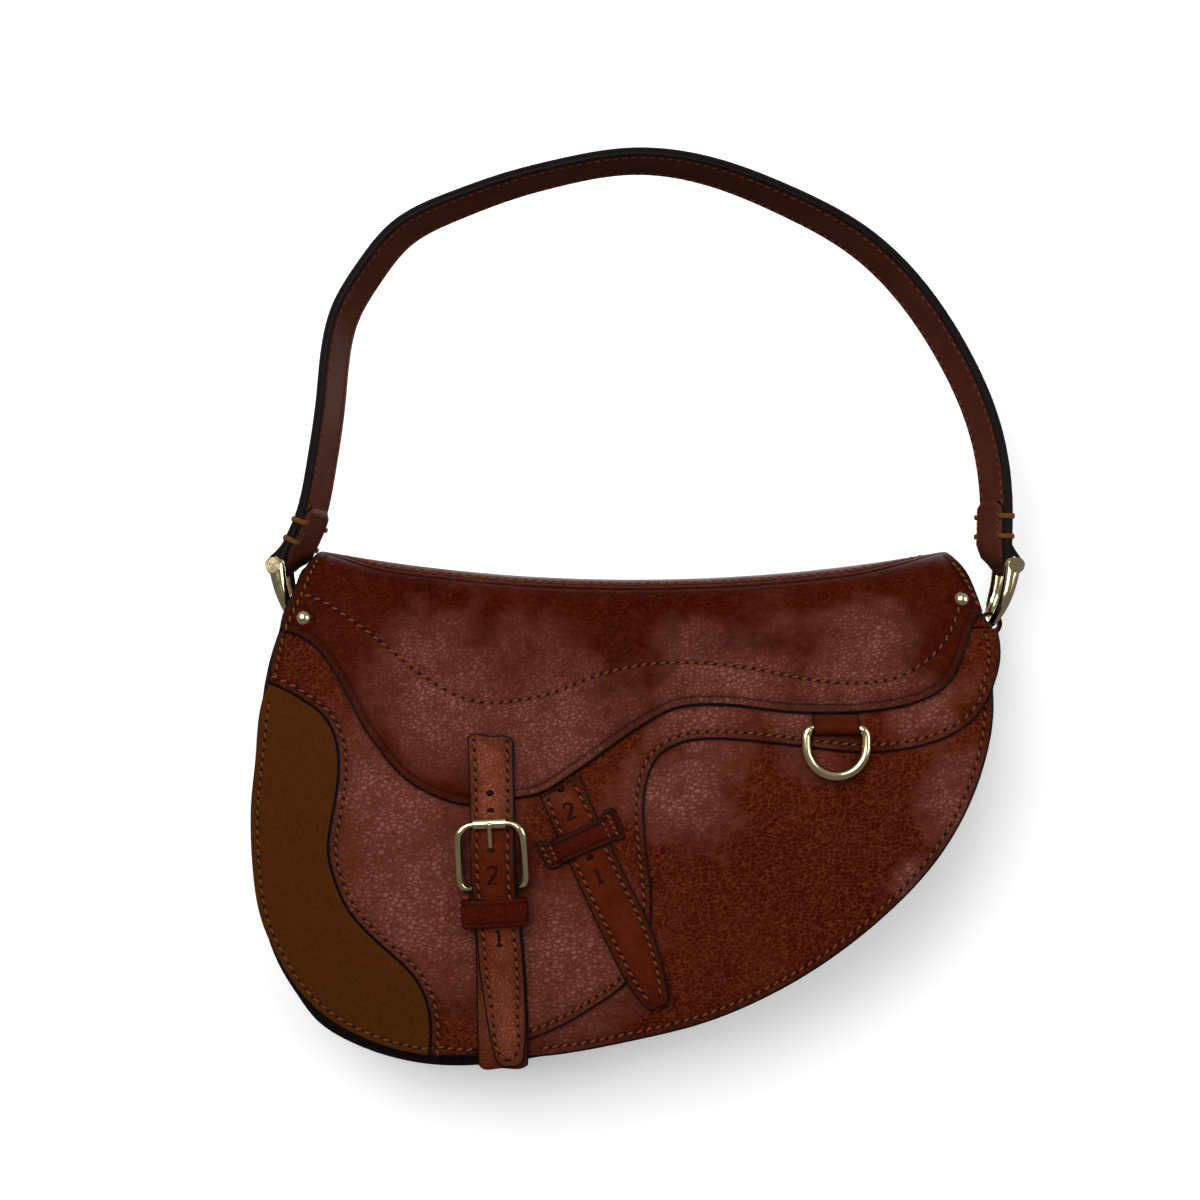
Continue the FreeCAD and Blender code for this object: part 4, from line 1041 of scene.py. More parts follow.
def pressed_marks(name, strokes, holes, level, width=1.25, radius=1.5):
    """Dark low ridges along strokes for the pressed numbers, and dark cups at holes, painted shade in the
    punched holes, just over the leather.
    """
    blocks, faces, count = [], [], 0
    for stroke in strokes:
        line = even_steps(stroke, 0.35)
        place, along, across, out = stitch_frames(line, level)
        wide = width * (0.55 + 0.45 * np.sin(np.linspace(0.25, np.pi - 0.25, len(line))))[:, None]
        rows = np.stack([place - across * wide / 2 - out * 0.05, place + out * 0.08,
                         place + across * wide / 2 - out * 0.05], axis=1)
        blocks.append(rows.reshape(-1, 3))
        sides = grid_faces(len(line), 3, closed_columns=True)[:, ::-1]
        faces += [sides + count, end_caps(len(line) * 3, 3)[:, ::-1] + count]
        count += len(line) * 3
    place, along, across, out = stitch_frames(np.asarray(holes, float), level)
    along = np.cross(across, out)
    shape, *cup = hole_shade_disc(radius, 16)
    points, numbers = repeat_shape(shape, cup, place + out * 0.03, along, across, out)
    blocks.append(points)
    faces += [block + count for block in numbers]
    return put_mesh(name, np.vstack(blocks), faces, [dark_numerals_and_hole_shade])


# Dark of the pressed numbers, and painted shade in the punched holes.
dark_numerals_and_hole_shade = plain_finish("dark_numerals_and_hole_shade", (0.014, 0.0034, 0.0016), (0.026, 0.0064, 0.0030), 500.0, 0.6,
                            gloss=0.03)

# %% Billet
billet_level = top_level + 2.0
strap_stitch_sink = 0.15
mark_lift = 0.06
billet_left_pixels = [
    (467, 738), (469, 790), (470, 830), (471.5, 880), (474, 910), (476.5, 940), (479, 970), (482.5, 996),
    (487, 1025), (492, 1050), (495, 1060),
]
billet_tip_pixels = [(495, 1060), (500, 1066), (509, 1068), (518, 1067), (524, 1062)]
billet_right_pixels = [
    (524, 1062), (526, 1035), (525.5, 996), (523.5, 960), (520.5, 927), (517, 898), (515, 860),
    (514.5, 812), (514, 770), (513.5, 741),
]
billet_end_pixels = [(513.5, 741), (510, 737.5), (490, 735.5), (470, 735), (467, 738)]
billet_runs = photo_runs(billet_level, billet_left_pixels, billet_tip_pixels, billet_right_pixels,
                         billet_end_pixels)
billet_left_row = on_photo([
    (474, 740), (476, 790), (477.5, 850), (479, 890), (483, 930), (488.5, 990), (494, 1030), (500, 1056),
    (506, 1061),
], billet_level)
billet_right_row = on_photo([
    (507, 741), (507.5, 790), (508, 850), (509.5, 890), (513.5, 930), (517.5, 990), (518, 1030),
    (515, 1056), (509, 1061),
], billet_level)
billet_holes = on_photo([(490, 793), (490.5, 811), (491.5, 849)], billet_level)
billet_strokes = pressed_number("2", (492.5, 873), 18, -3, billet_level)
billet_strokes += pressed_number("1", (498.5, 937), 17, -3, billet_level)
billet = leather_sheet("billet_leather", billet_runs, billet_top, billet_under, saddle_tan, rim=0.6,
                       grooves=[billet_left_row, billet_right_row], spacing=2.4, step=0.9, paint_reach=0.75)
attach(billet, "flap")
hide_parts("billet_strap")
billet_sewing = stitch_rows("billet_sewing", [(row, raised(billet_top, -strap_stitch_sink)) for row in
                                              (billet_left_row, billet_right_row)], pitch=3.9)
billet_marks = pressed_marks("billet_marks", billet_strokes, billet_holes, raised(billet_top, mark_lift))
for piece in (billet_sewing, billet_marks):
    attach(piece, "flap")

# %% Strap under the billet
under_left_pixels = [(468, 889), (474, 927), (476, 970), (477, 1030), (478, 1066)]
under_foot_pixels = [(478, 1066), (481, 1069.5), (500, 1070), (524, 1069), (528, 1066)]
under_right_pixels = [(528, 1066), (528, 1030), (526.5, 985), (522, 927), (518, 889)]
under_runs = photo_runs(seat_level + 2.0, under_left_pixels, under_foot_pixels, under_right_pixels)
under_runs.append(np.array([under_runs[-1][-1], under_runs[0][0]]))
under_strap = leather_sheet("buckle_strap_leather", under_runs, under_top, under_low, saddle_tan,
                            rim=0.55, spacing=2.6, step=0.9, paint_reach=0.75)
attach(under_strap, "flap")
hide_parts("buckle_strap")

# %% Slanted strap and its sewn keeper
side_ply = 1.6
side_level = seat_level + side_ply
side_left_pixels = [
    (540, 797), (555, 832), (570, 866), (584, 897), (600, 931), (617, 966), (634, 995), (644, 1007),
]
side_tip_pixels = [(644, 1007), (650, 1010.5), (659, 1008), (667, 1003.5), (669, 997)]
side_right_pixels = [
    (669, 997), (665, 975), (659, 952), (650, 926), (630, 885), (611, 846), (596, 814), (580, 775),
]
side_top_pixels = [(580, 775), (566, 784), (552, 792), (540, 797)]
side_runs = photo_runs(side_level, side_left_pixels, side_tip_pixels, side_right_pixels, side_top_pixels)
side_left_row = on_photo([
    (548, 800), (562, 834), (577, 866), (600, 914), (620, 953), (637, 985), (648, 1001),
], side_level)
side_right_row = on_photo([
    (575, 785), (590, 816), (604, 846), (623, 885), (642, 924), (652, 952), (659, 980), (660, 996),
], side_level)
side_strokes = pressed_number("2", (569, 811), 17, -22, side_level)
side_strokes += pressed_number("1", (598, 876), 16, -24, side_level)
side_holes = on_photo([(561, 789), (590, 857)], side_level)
side_strap = leather_sheet("slanted_strap_leather", side_runs, side_level, seat_level + glue_line,
                           saddle_tan, rim=0.6, grooves=[side_left_row, side_right_row], spacing=2.4,
                           step=0.9, paint_reach=0.75)
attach(side_strap, "flap")
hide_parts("side_strap")
side_sewing = stitch_rows("slanted_strap_sewing", [(row, side_level - strap_stitch_sink) for row in
                                                   (side_left_row, side_right_row)])
side_marks = pressed_marks("slanted_strap_marks", side_strokes, side_holes, side_level + mark_lift)
for piece in (side_sewing, side_marks):
    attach(piece, "flap")

# %% [markdown]
# The slanted keeper is a small bar of darker hide laid across the strap. Its ends come down to the
# skirt and are sewn there, so its level is a flat crown with two eased slopes.

# %% Sewn keeper
keeper_left_end = on_photo([(541, 857)], side_level)[0]
keeper_right_end = on_photo([(620, 823)], side_level)[0]
keeper_way = keeper_right_end - keeper_left_end
keeper_long = np.linalg.norm(keeper_way)
keeper_way = keeper_way / keeper_long
keeper_low_level = seat_level + 1.4
keeper_high_level = side_level + 1.5


def crossing_level(points):
    """High over the strap, low on the sewn ends, easing over a few millimetres between them."""
    along = (points - keeper_left_end) @ keeper_way
    rise = np.clip((np.minimum(along, keeper_long - along) - 4.6) / 3.2, 0, 1)
    return keeper_low_level + (keeper_high_level - keeper_low_level) * eased(rise)


def under_crossing(points):
    """The bar's inside: just over the strap in the middle, just over the skirt at the ends."""
    along = (points - keeper_left_end) @ keeper_way
    return np.where(np.minimum(along, keeper_long - along) > 6.4, side_level + 0.05, seat_level + 0.05)


side_keeper_runs = photo_runs(
    side_level,
    [(535, 844), (540, 841.5), (548, 842)], [(548, 842), (560, 837), (590, 823), (601, 817.5)],
    [(601, 817.5), (604, 811), (612, 808), (616, 810)], [(616, 810), (622, 825), (625.5, 837)],
    [(625.5, 837), (621, 840.5), (614, 841)], [(614, 841), (590, 851.5), (565, 862)],
    [(565, 862), (560, 867), (552, 869.5), (547, 869)], [(547, 869), (541, 857), (535, 844)])
side_keeper = leather_sheet("sewn_keeper", side_keeper_runs, crossing_level, under_crossing, oxblood,
                            rim=0.6, crease=1.9, spacing=1.8, step=0.8, paint_reach=0.6)
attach(side_keeper, "flap")
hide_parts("side_keeper")
keeper_sewing_rows = photo_runs(
    side_level,
    [(541, 846), (551, 865)], [(607, 814), (618, 836)], [(550, 846), (557, 861)], [(602, 821), (610, 838)])
keeper_sewing = stitch_rows("sewn_keeper_stitches", [(row, raised(crossing_level, -0.1)) for row in
                                                     keeper_sewing_rows], pitch=2.8, width=0.85)
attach(keeper_sewing, "flap")

# %% [markdown]
# ## D-ring tab
# A short strip folds round the ring's straight bar and is held under the seat's edge. Its outside is
# a half round over the bar that runs up into a flat ply.

# %% D-ring tab
ring_bar = np.array(joints["d_ring_swing"]["pos_m"]) / MM
bar_level = 8.25
tab_round = 2.75
tab_half_x = 8.85


def below_bar(points):
    """How far each place lies below the ring's level bar, round the skin."""
    return points[:, 1] - round_from_back(points[:, 0], ring_bar[2], seat_level + 2.85)


def tab_level(points):
    """Half circle over the bar, or the flat ply above it, whichever stands higher."""
    off = below_bar(points)
    hump = bar_level + np.sqrt(np.clip(tab_round ** 2 - off ** 2, 0, None))
    flat_ply = np.interp(off, [-5.6, -4.2, -2.0, 0.0], [6.6, 7.3, 8.9, 9.5])
    return np.where(off < 0, np.maximum(hump * (off > -tab_round), flat_ply), hump)


def tab_under(points):
    """The tab's inside: flat on the skirt above the bar, level with the bar below."""
    return np.where(below_bar(points) > -2.2, bar_level, seat_level + 0.1)


tab_left, tab_right = ring_bar[0] - tab_half_x, ring_bar[0] + tab_half_x
tab_corners = np.array([[tab_left, -5.6], [tab_left, tab_round - 0.02], [tab_right, tab_round - 0.02],
                        [tab_right, -5.6]])
tab_corners[:, 1] -= below_bar(tab_corners * [1, 0])
tab_runs = [tab_corners[[i, (i + 1) % 4]] for i in range(4)]
ring_tab = leather_sheet("d_ring_tab_leather", tab_runs, tab_level, tab_under, saddle_tan, rim=0.4,
                         spacing=1.2, step=0.5, paint_reach=0.6)
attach(ring_tab, "flap")
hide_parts("d_ring_tab")


# %% [markdown]
# ## The pocket behind the flap
# Behind the flap hangs a soft pocket: a front panel that follows the bulge, a flat back, and a gusset
# that runs round between them and sags inward at its middle, as a leather wall does between two
# seams. Each wall is two grids of points, an outside and an inside, closed by strips at the edges.

# %% Closed shells
def shell(name, outer, inner, materials, paint_edges=True, closed=False, press=None):
    """Two grids of the same size, faced outward and inward, with walls along every open edge."""
    rows, columns = outer.shape[:2]
    count = rows * columns
    faces = grid_faces(rows, columns, closed_rows=closed)
    numbers = np.arange(count).reshape(rows, columns)
    rims = [numbers[:, 0], numbers[::-1, -1]]
    if closed:
        rims = [np.append(rim, rim[0]) for rim in rims]
    else:
        rims += [numbers[0, ::-1], numbers[-1]]
    walls = [np.column_stack([rim[:-1], rim[1:], rim[1:] + count, rim[:-1] + count]) for rim in rims]
    walls = np.vstack(walls)
    points = np.vstack([outer.reshape(-1, 3), inner.reshape(-1, 3)])
    paint = np.concatenate([np.zeros(2 * len(faces)), np.full(len(walls), int(paint_edges))])
    piece = put_mesh(name, points, [faces, faces[:, ::-1] + count, walls], materials, paint)
    if press is not None:
        note_points(piece, "press", np.concatenate([press.ravel(), np.zeros(count)]))
    return piece


# %% Body outline
flap_columns = (250.5, 998.5)
ridge_row = 578.7
flap_pixels_wide = flap_columns[1] - flap_columns[0]
across_scale = (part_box("flap_base")[1][0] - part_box("flap_base")[0][0]) / MM / flap_pixels_wide
body_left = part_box("flap_base")[0][0] / MM
body_pixels = [
    (280, 640), (279, 680), (274, 715), (262, 760), (255, 805), (252, 850), (255, 895), (263, 936),
    (277, 973), (295, 1003), (312, 1026), (343, 1047.5), (385, 1064), (428.5, 1072.5), (475, 1073),
    (540, 1064), (600, 1052), (660, 1038), (720, 1019), (780, 992), (840, 954), (900, 903), (940, 859),
    (966, 814), (983, 770), (992, 730), (997, 700), (1000, 670), (1000, 640),
]
body_xz = np.array(body_pixels, float)
body_xz = np.column_stack([body_left + (body_xz[:, 0] - flap_columns[0]) * across_scale,
                           ridge_z - (body_xz[:, 1] - ridge_row) * across_scale])
gusset_top_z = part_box("gusset")[1][2] / MM
body_xz = np.vstack([[[body_xz[0, 0], gusset_top_z]], body_xz, [[body_xz[-1, 0], gusset_top_z]]])
body_line = smooth_run(body_xz, 3.0)
body_side = sideways(body_line, False)
back_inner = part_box("back_panel")[0][1] / MM


def body_wall(inward, share, front_level):
    """The gusset's points: the outline moved inward, carried from the front skin to the back panel."""
    line = body_line + body_side * inward
    x, z = line[:, 0], line[:, 1]
    front = skin(x, round_from_back(x, z, front_level), front_level)[:, 1]
    front = np.minimum(front, back_inner - 8.0)
    return np.stack([x, front + (back_inner - front) * share, z], axis=-1)


# %% Gusset
gusset_sag = 1.5
gusset_ply = 1.6
shares = np.linspace(0.0, 1.0, 13)
sag = gusset_sag * np.sin(np.pi * shares)


def sagging_wall(inward, front_level):
    """A grid of the wall, one column per share of its depth, dipping inward between the two seams."""
    columns = [body_wall(inward + dip, share, front_level) for share, dip in zip(shares, sag)]
    return np.stack(columns, axis=1)


gusset_level, gusset_set_in = -2.3, 0.1
gusset = shell("gusset_leather", sagging_wall(gusset_set_in, gusset_level),
               sagging_wall(gusset_set_in + gusset_ply, gusset_level), [body_hide, edge_paint])
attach(gusset, "bag")
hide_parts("gusset")

# %% Front and back panels
mouth_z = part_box("front_panel")[1][2] / MM
panel_run = body_line[body_line[:, 1] < mouth_z]
panel_s = on_front(panel_run[:, 0], panel_run[:, 1], panel_level)
mouth_x = np.linspace(panel_s[-1, 0], panel_s[0, 0], 30)
mouth_run = on_front(mouth_x, mouth_z, panel_level)
mouth_stitch = inset_line(mouth_run, -3.2)[3:-3]
panel_stitch = inset_line(panel_s, -7.0)[4:-4]
# The dyed band along the rim is 5 mm wide: edge dye at the very edge, and beyond that painted shade where the
# rim lies under the flap.
front_panel = leather_sheet("front_panel_leather", [panel_s, mouth_run], panel_level, panel_level - 1.8,
                            body_hide, rim=0.6, grooves=[panel_stitch], spacing=5.0, step=1.8,
                            paint_reach=5.2)
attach(front_panel, "bag")
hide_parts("front_panel")


def back_skin(a, s, level):
    """The flat back seen from behind: a runs to its own right, s runs down, level stands out."""
    a, s, level = together(a, s, level)
    return np.stack([-a, back_inner + level, -s], axis=-1)


back_ply = back_y - back_inner
foot_x = np.linspace(left_back[-1, 0], right_back[-1, 0], 40)
foot_z = skin(foot_x, back_foot_s - 0.3, top_level)[:, 2]
back_run = body_line[(body_line[:, 1] < foot_z[0]) | (body_line[:, 0] > 0) & (body_line[:, 1] < foot_z[-1])]
back_body = np.column_stack([-back_run[:, 0], -back_run[:, 1]])
back_top = np.column_stack([-foot_x, -foot_z])
back_stitch = inset_line(back_body, 3.2)[3:-3]
back_panel = leather_sheet("back_panel_leather", [back_body, back_top[::-1]], back_ply, glue_line, body_hide,
                           rim=0.9, grooves=[back_stitch], spacing=5.0, step=1.8, surface=back_skin)
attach(back_panel, "bag")
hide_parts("back_panel")
back_sewing = stitch_rows("back_sewing", [(back_stitch, back_ply - stitch_sink)], surface=back_skin)
panel_sewing = stitch_rows("panel_sewing", [(panel_stitch, panel_level - stitch_sink),
                                            (mouth_stitch, panel_level - 0.1)])
for piece in (back_sewing, panel_sewing):
    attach(piece, "bag")

# %% [markdown]
# ## Linings
# A woven lining faces the inside of the flap and the roll. It is cut along the top of the roll: the
# front half, like the seat, is attached to no body, the back half stays with the bag, and a lining bag
# hangs in the pocket.

# %% Flap facing and pocket lining
facing_inset = 1.0
top_left = np.array([[ridge_corner_x[0], roll_top_s]])
top_right = np.array([[ridge_corner_x[1], roll_top_s]])
flap_facing_runs = [np.vstack([top_left, left_front]), base_left, base_bottom, base_right,
                    np.vstack([right_front[::-1], top_right])]
facing_hem = [0.0, 3.0]
facing_left = np.vstack([left_end[-1:] - facing_hem, left_back[::-1], top_left])[::-1]
facing_right = np.vstack([right_end[:1] - facing_hem, right_back[::-1], top_right])
roll_facing_runs = [facing_left, foot_line - facing_hem, facing_right]
facings = []
for name, runs, inward in (("flap_facing", flap_facing_runs, -1), ("roll_facing", roll_facing_runs, 1)):
    edge_line = np.vstack(runs)
    runs = [inset_line(run, facing_inset * inward) for run in runs]
    runs = [run[line_distance(run, edge_line, False) > facing_inset * 0.97] for run in runs]
    runs.append(np.array([runs[-1][-1], runs[0][0]]))
    facings.append(leather_sheet(name, runs, lining_level - glue_line, glue_line, lining_cloth,
                                 rim=0.3, spacing=4.0, step=1.8))
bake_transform(facings[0])
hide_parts("flap_lining")
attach(facings[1], "bag")
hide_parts("roll_lining")
lining_top_z = mouth_z - 5.0
lining_gap = 0.2
deep = body_line[:, 1] < lining_top_z
lining_level_front = -2.8
lining_walls = [sagging_wall(gusset_ply + inward, lining_level_front)[deep] for inward in (0.5, 1.2)]
pocket_lining = shell("pocket_lining_wall", *lining_walls, [lining_cloth], paint_edges=False)
lining_run = panel_s[panel_run[:, 1] < lining_top_z]
lining_runs = [inset_line(lining_run, -gusset_ply - 1.0), on_front(mouth_x, lining_top_z, panel_level)[3:-3]]
lining_front = leather_sheet("pocket_lining_front", lining_runs, panel_level - 2.0, panel_level - 2.7,
                             lining_cloth, rim=0.2, spacing=6.0, step=2.5)
lining_back = leather_sheet("pocket_lining_back", [inset_line(back_body, gusset_ply + 1.0), back_top[::-1]],
                            -lining_gap, -0.9, lining_cloth, rim=0.2, spacing=6.0, step=2.5,
                            surface=back_skin)
for piece in (pocket_lining, lining_front, lining_back):
    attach(piece, "bag")
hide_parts("pocket_lining")

# %% [markdown]
# ## Handle
# The handle is two plies sewn together, seen edge on from the front, so its black painted edge is
# most of what shows, with the inner face turning into view towards the back. One rounded section is
# carried along the arch; at each end it swells and closes round the shackle's pin.

# %% Handle arch
pin_box = np.array(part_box("shackle_pin_right")) / MM
pin_x, pin_z = (pin_box[0, 0] + pin_box[1, 0]) / 2, (pin_box[0, 2] + pin_box[1, 2]) / 2
handle_half = 10.0
handle_thick = 3.4
handle_rise = handle_thick + 2.5 - pin_z
handle_line_shares = [
    (-0.984, 0.050), (-0.947, 0.122), (-0.919, 0.231), (-0.891, 0.399), (-0.877, 0.520), (-0.849, 0.619),
    (-0.779, 0.725), (-0.683, 0.824), (-0.522, 0.896), (-0.383, 0.939), (-0.243, 0.971), (-0.033, 1.000),
    (0.210, 0.971), (0.399, 0.908), (0.609, 0.807), (0.748, 0.691), (0.874, 0.527), (0.964, 0.344),
    (0.998, 0.158), (0.997, 0.050),
]
arch = smooth_run(np.array(handle_line_shares) * [pin_x, handle_rise] + [0, pin_z], 2.5)
arch_inward = -sideways(arch, False)
arch_length = way_along(arch)
arch_share = arch_length / arch_length[-1]
arch_middle = arch + arch_inward * handle_thick / 2
loop_radius = 3.9


def flare(share):
    """How far the far edge leans inward: most along the sides, less over the top of the arch."""
    return 6.4 - 2.6 * np.exp(-((share - 0.47) / 0.17) ** 2)


# %% Handle ends
def end_stations(middle, inward, pin):
    """Stations from the arch's end to round the pin: the half thickness eases up to the loop's radius,
    then follows a circle, radius x cosine, until it closes."""
    way = unit(pin - middle)
    out = np.array([way[1], -way[0]])
    out = out if out @ inward > 0 else -out
    toward = np.array([0.35, 0.7, 1.0])
    angle = np.radians([18, 36, 54, 70, 82, 89.9])
    round_pin = pin + way * loop_radius * np.sin(angle)[:, None]
    centres = np.vstack([middle + (pin - middle) * toward[:, None], round_pin])
    ease = eased(toward)
    swell = handle_thick / 2 + (loop_radius - handle_thick / 2) * ease
    half = np.concatenate([swell, loop_radius * np.cos(angle)])
    lean = np.concatenate([flare(0.0) * (1 - 0.75 * ease), np.full(len(angle), 0.25 * flare(0.0))])
    return centres, np.tile(out, (len(centres), 1)), half, lean


left_stations = end_stations(arch_middle[0], arch_inward[0], np.array([-pin_x, pin_z]))
right_stations = end_stations(arch_middle[-1], arch_inward[-1], np.array([pin_x, pin_z]))
strap_middle = np.vstack([left_stations[0][::-1], arch_middle, right_stations[0]])
strap_inward = np.vstack([left_stations[1], arch_inward, right_stations[1]])
strap_half = np.concatenate([left_stations[2][::-1], np.full(len(arch), handle_thick / 2), right_stations[2]])
strap_lean = np.concatenate([left_stations[3][::-1], flare(arch_share), right_stations[3]])


def handle_points(across, depth_share):
    """Section points at every station: across from the near edge (-1) to the far (1), depth from the
    outer face (-1) to the inner (1); the far edge leans inward by the flare."""
    depth = strap_half[:, None] * depth_share[None] + strap_lean[:, None] * (across[None] + 1) / 2
    place = strap_middle[:, None] + strap_inward[:, None] * depth[..., None]
    y = np.broadcast_to(across[None] * handle_half, depth.shape)
    return np.stack([place[..., 0], y, place[..., 1]], axis=-1)


# %% Handle mesh
face_across = np.linspace(-0.93, 0.93, 11)
edge_across = np.array([0.965, 0.99, 1.0, 0.985, 0.972, 0.985, 1.0, 0.99, 0.965])
edge_depth = np.array([-0.96, -0.80, -0.45, -0.12, 0.0, 0.12, 0.45, 0.80, 0.96])
section_across = np.concatenate([face_across, edge_across, face_across[::-1], -edge_across])
section_depth = np.concatenate([np.full(11, -1.0), edge_depth, np.full(11, 1.0), edge_depth[::-1]])
rows = handle_points(section_across, section_depth)
faces = grid_faces(len(rows), len(section_across), closed_columns=True)[:, ::-1]
caps = end_caps(len(rows) * len(section_across), len(section_across))[:, ::-1]
section_paint = np.concatenate([np.zeros(10), np.ones(10), np.zeros(10), np.ones(10)])
paint = np.append(np.tile(section_paint, len(rows) - 1), [0, 0])
handle = put_mesh("handle_leather", rows, [faces, caps], [handle_brown, edge_paint], paint)
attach(handle, "handle")
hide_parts("handle_strap", "handle_lining")


def handle_face(side):
    """A sewing surface on the outer (-1) or inner (1) face: a is across, s the length along the arch."""
    def surface(a, s, level):
        a, s, level = together(a, s, level)
        share = s / arch_length[-1]
        middle = np.stack([np.interp(s, arch_length, column) for column in arch_middle.T], axis=-1)
        inward = np.stack([np.interp(s, arch_length, column) for column in arch_inward.T], axis=-1)
        drop = flare(share) * (a / handle_half + 1) / 2
        depth = side * (handle_thick / 2 + level) + drop
        place = middle + inward * depth[..., None]
        return np.stack([place[..., 0], a, place[..., 1]], axis=-1)
    return surface


row_ends = np.array([4.0, arch_length[-1] - 4.0])
row_y = handle_half - 2.3
for side, label in ((-1, "outer"), (1, "inner")):
    along = np.linspace(*row_ends, 90)
    rows = [(np.column_stack([np.full(90, y), along]), glue_line) for y in (-row_y, row_y)]
    sewing = stitch_rows("handle_sewing_" + label, rows, width=0.85, height=0.3, surface=handle_face(side))
    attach(sewing, "handle")

# %% [markdown]
# At each end the strap turns round the pin and comes back up its own inner face. That return is a
# short tongue with a rounded tip, sewn round its edge and bound to the strap by two bar tacks, which
# are bands of thread wrapped over the painted edge.

# %% Strap returns
return_ply = 1.8
return_length = 15.0
tip_radius = 4.0
pin_station = 3
end_count = len(left_stations[2])
arch_stop = int(np.searchsorted(arch_length, return_length))


def strap_return(name, stations, turn):
    """A tongue on the inner face from its tip to the pin: half width follows a round corner at the tip,
    thickness fades out where it reaches the pin."""
    middle, inward = strap_middle[stations], strap_inward[stations]
    from_tip = way_along(middle)
    corner = np.clip(tip_radius - from_tip, 0, tip_radius)
    width = (handle_half - tip_radius + np.sqrt(tip_radius ** 2 - corner ** 2)) / handle_half * 0.985
    across = np.linspace(-1, 1, 15)[None] * width[:, None]
    lift = return_ply * np.clip((from_tip[-1] - from_tip) / 6.0, 0.03, 1)
    round_edge = 1 - 0.35 * np.clip((np.abs(np.linspace(-1, 1, 15)) - 0.85) / 0.15, 0, 1) ** 2
    grids = []
    for raise_share in (1.0, 0.02):
        depth = strap_half[stations][:, None] + lift[:, None] * raise_share * round_edge[None]
        depth = depth + strap_lean[stations][:, None] * (across + 1) / 2
        place = middle[:, None] + inward[:, None] * depth[..., None]
        grids.append(np.stack([place[..., 0], across * handle_half, place[..., 1]], axis=-1))
    tongue = shell(name, grids[0][:, ::turn], grids[1][:, ::turn], [handle_brown, edge_paint])
    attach(tongue, "handle")


left_way = np.arange(end_count + arch_stop, end_count - pin_station - 1, -1)
right_way = len(strap_middle) - 1 - left_way
strap_return("strap_return_left", left_way, -1)
strap_return("strap_return_right", right_way, 1)
tongue_end = arch_length[arch_stop]
for start, label in ((0.0, "left"), (arch_length[-1], "right")):
    inward_way = 1.0 if start == 0.0 else -1.0
    along = start + inward_way * np.linspace(1.0, tongue_end - 4.0, 12)
    tip = np.full(12, start + inward_way * (tongue_end - 2.4))
    lines = [np.column_stack([np.full(12, y), along]) for y in (-row_y, row_y)]
    lines.append(np.column_stack([np.linspace(-6.0, 6.0, 12), tip]))
    sewing = stitch_rows("return_sewing_" + label, [(line, return_ply + glue_line) for line in lines],
                         pitch=2.6, width=0.8, height=0.3, surface=handle_face(1))
    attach(sewing, "handle")


# %% [markdown]
# ## Metal
# The shackles are cast horns: thick and flat by the pin, thinner where they pass through the side
# tabs. The buckle is a bent frame with round corners. Each is an oval section carried along a path.

# %% Oval wire along a path
def wire(name, path, side, wide, thick, material, closed=False, around=16):
    """Points = path + side x wide x cosine + square x thick x sine, with the ends drawn to a point."""
    path = np.asarray(path, float)
    after = np.roll(path, -1, axis=0) if closed else np.vstack([path[1:], 2 * path[-1:] - path[-2:-1]])
    before = np.roll(path, 1, axis=0) if closed else np.vstack([2 * path[:1] - path[1:2], path[:-1]])
    along = unit(after - before)
    side = np.broadcast_to(side, path.shape)
    side = unit(side - np.sum(side * along, axis=1, keepdims=True) * along)
    square = np.cross(along, side)
    angle = full_turn(around)
    wide = np.broadcast_to(wide, len(path))[:, None, None]
    thick = np.broadcast_to(thick, len(path))[:, None, None]
    rows = path[:, None] + side[:, None] * wide * np.cos(angle)[None, :, None]
    rows = rows + square[:, None] * thick * np.sin(angle)[None, :, None]
    faces = grid_faces(len(path), around, closed_rows=closed, closed_columns=True)
    caps = [] if closed else end_caps(len(path) * around, around)
    return put_mesh(name, rows, [faces, caps], [material])


def closed_steps(u, v, step):
    """A flat loop through (u, v), cut at equal steps."""
    return even_steps(np.column_stack([np.append(u, u[0]), np.append(v, v[0])]), step)[:-1]


def rounded_ends(count, length=6):
    """A width share that closes both ends of an open wire with a quarter circle."""
    share = np.ones(count)
    share[:length] = np.sqrt(1 - np.linspace(1, 0, length) ** 2) + 0.002
    share[-length:] = share[:length][::-1]
    return np.minimum(share, 1.0)


# %% Shackles
shackle_lean = np.radians(15.0)
shackle_x = pin_x - 1.6
shackle_tall = 24.0
horn_top = 3.6
bow_radius = 12.6
bow_leg = shackle_tall - bow_radius
for mirror, name in ((-1, "left"), (1, "right")):
    turn = np.linspace(0, np.pi, 30)[1:-1]
    top = np.linspace(horn_top, -bow_leg, 22)
    y = np.concatenate([np.full(22, -bow_radius), -bow_radius * np.cos(turn), np.full(22, bow_radius)])
    z = np.concatenate([top, -bow_leg - bow_radius * np.sin(turn), top[::-1]])
    fall = np.clip((horn_top - z) / (shackle_tall + horn_top), 0, 1)
    bulge = 1.3 * np.sin(np.pi * fall)
    x = mirror * (z * np.sin(shackle_lean) + bulge)
    path = np.column_stack([x + mirror * shackle_x, y, z * np.cos(shackle_lean) + pin_z])
    ends = rounded_ends(len(path), 7)
    wide = (3.3 - 1.7 * fall ** 1.3) * ends
    thick = (2.25 - 0.75 * fall ** 2) * ends
    shackle = wire("shackle_horn_" + name, path, (1.0, 0.0, 0.0), wide, thick, gold)
    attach(shackle, "handle")
    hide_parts("shackle_" + name)

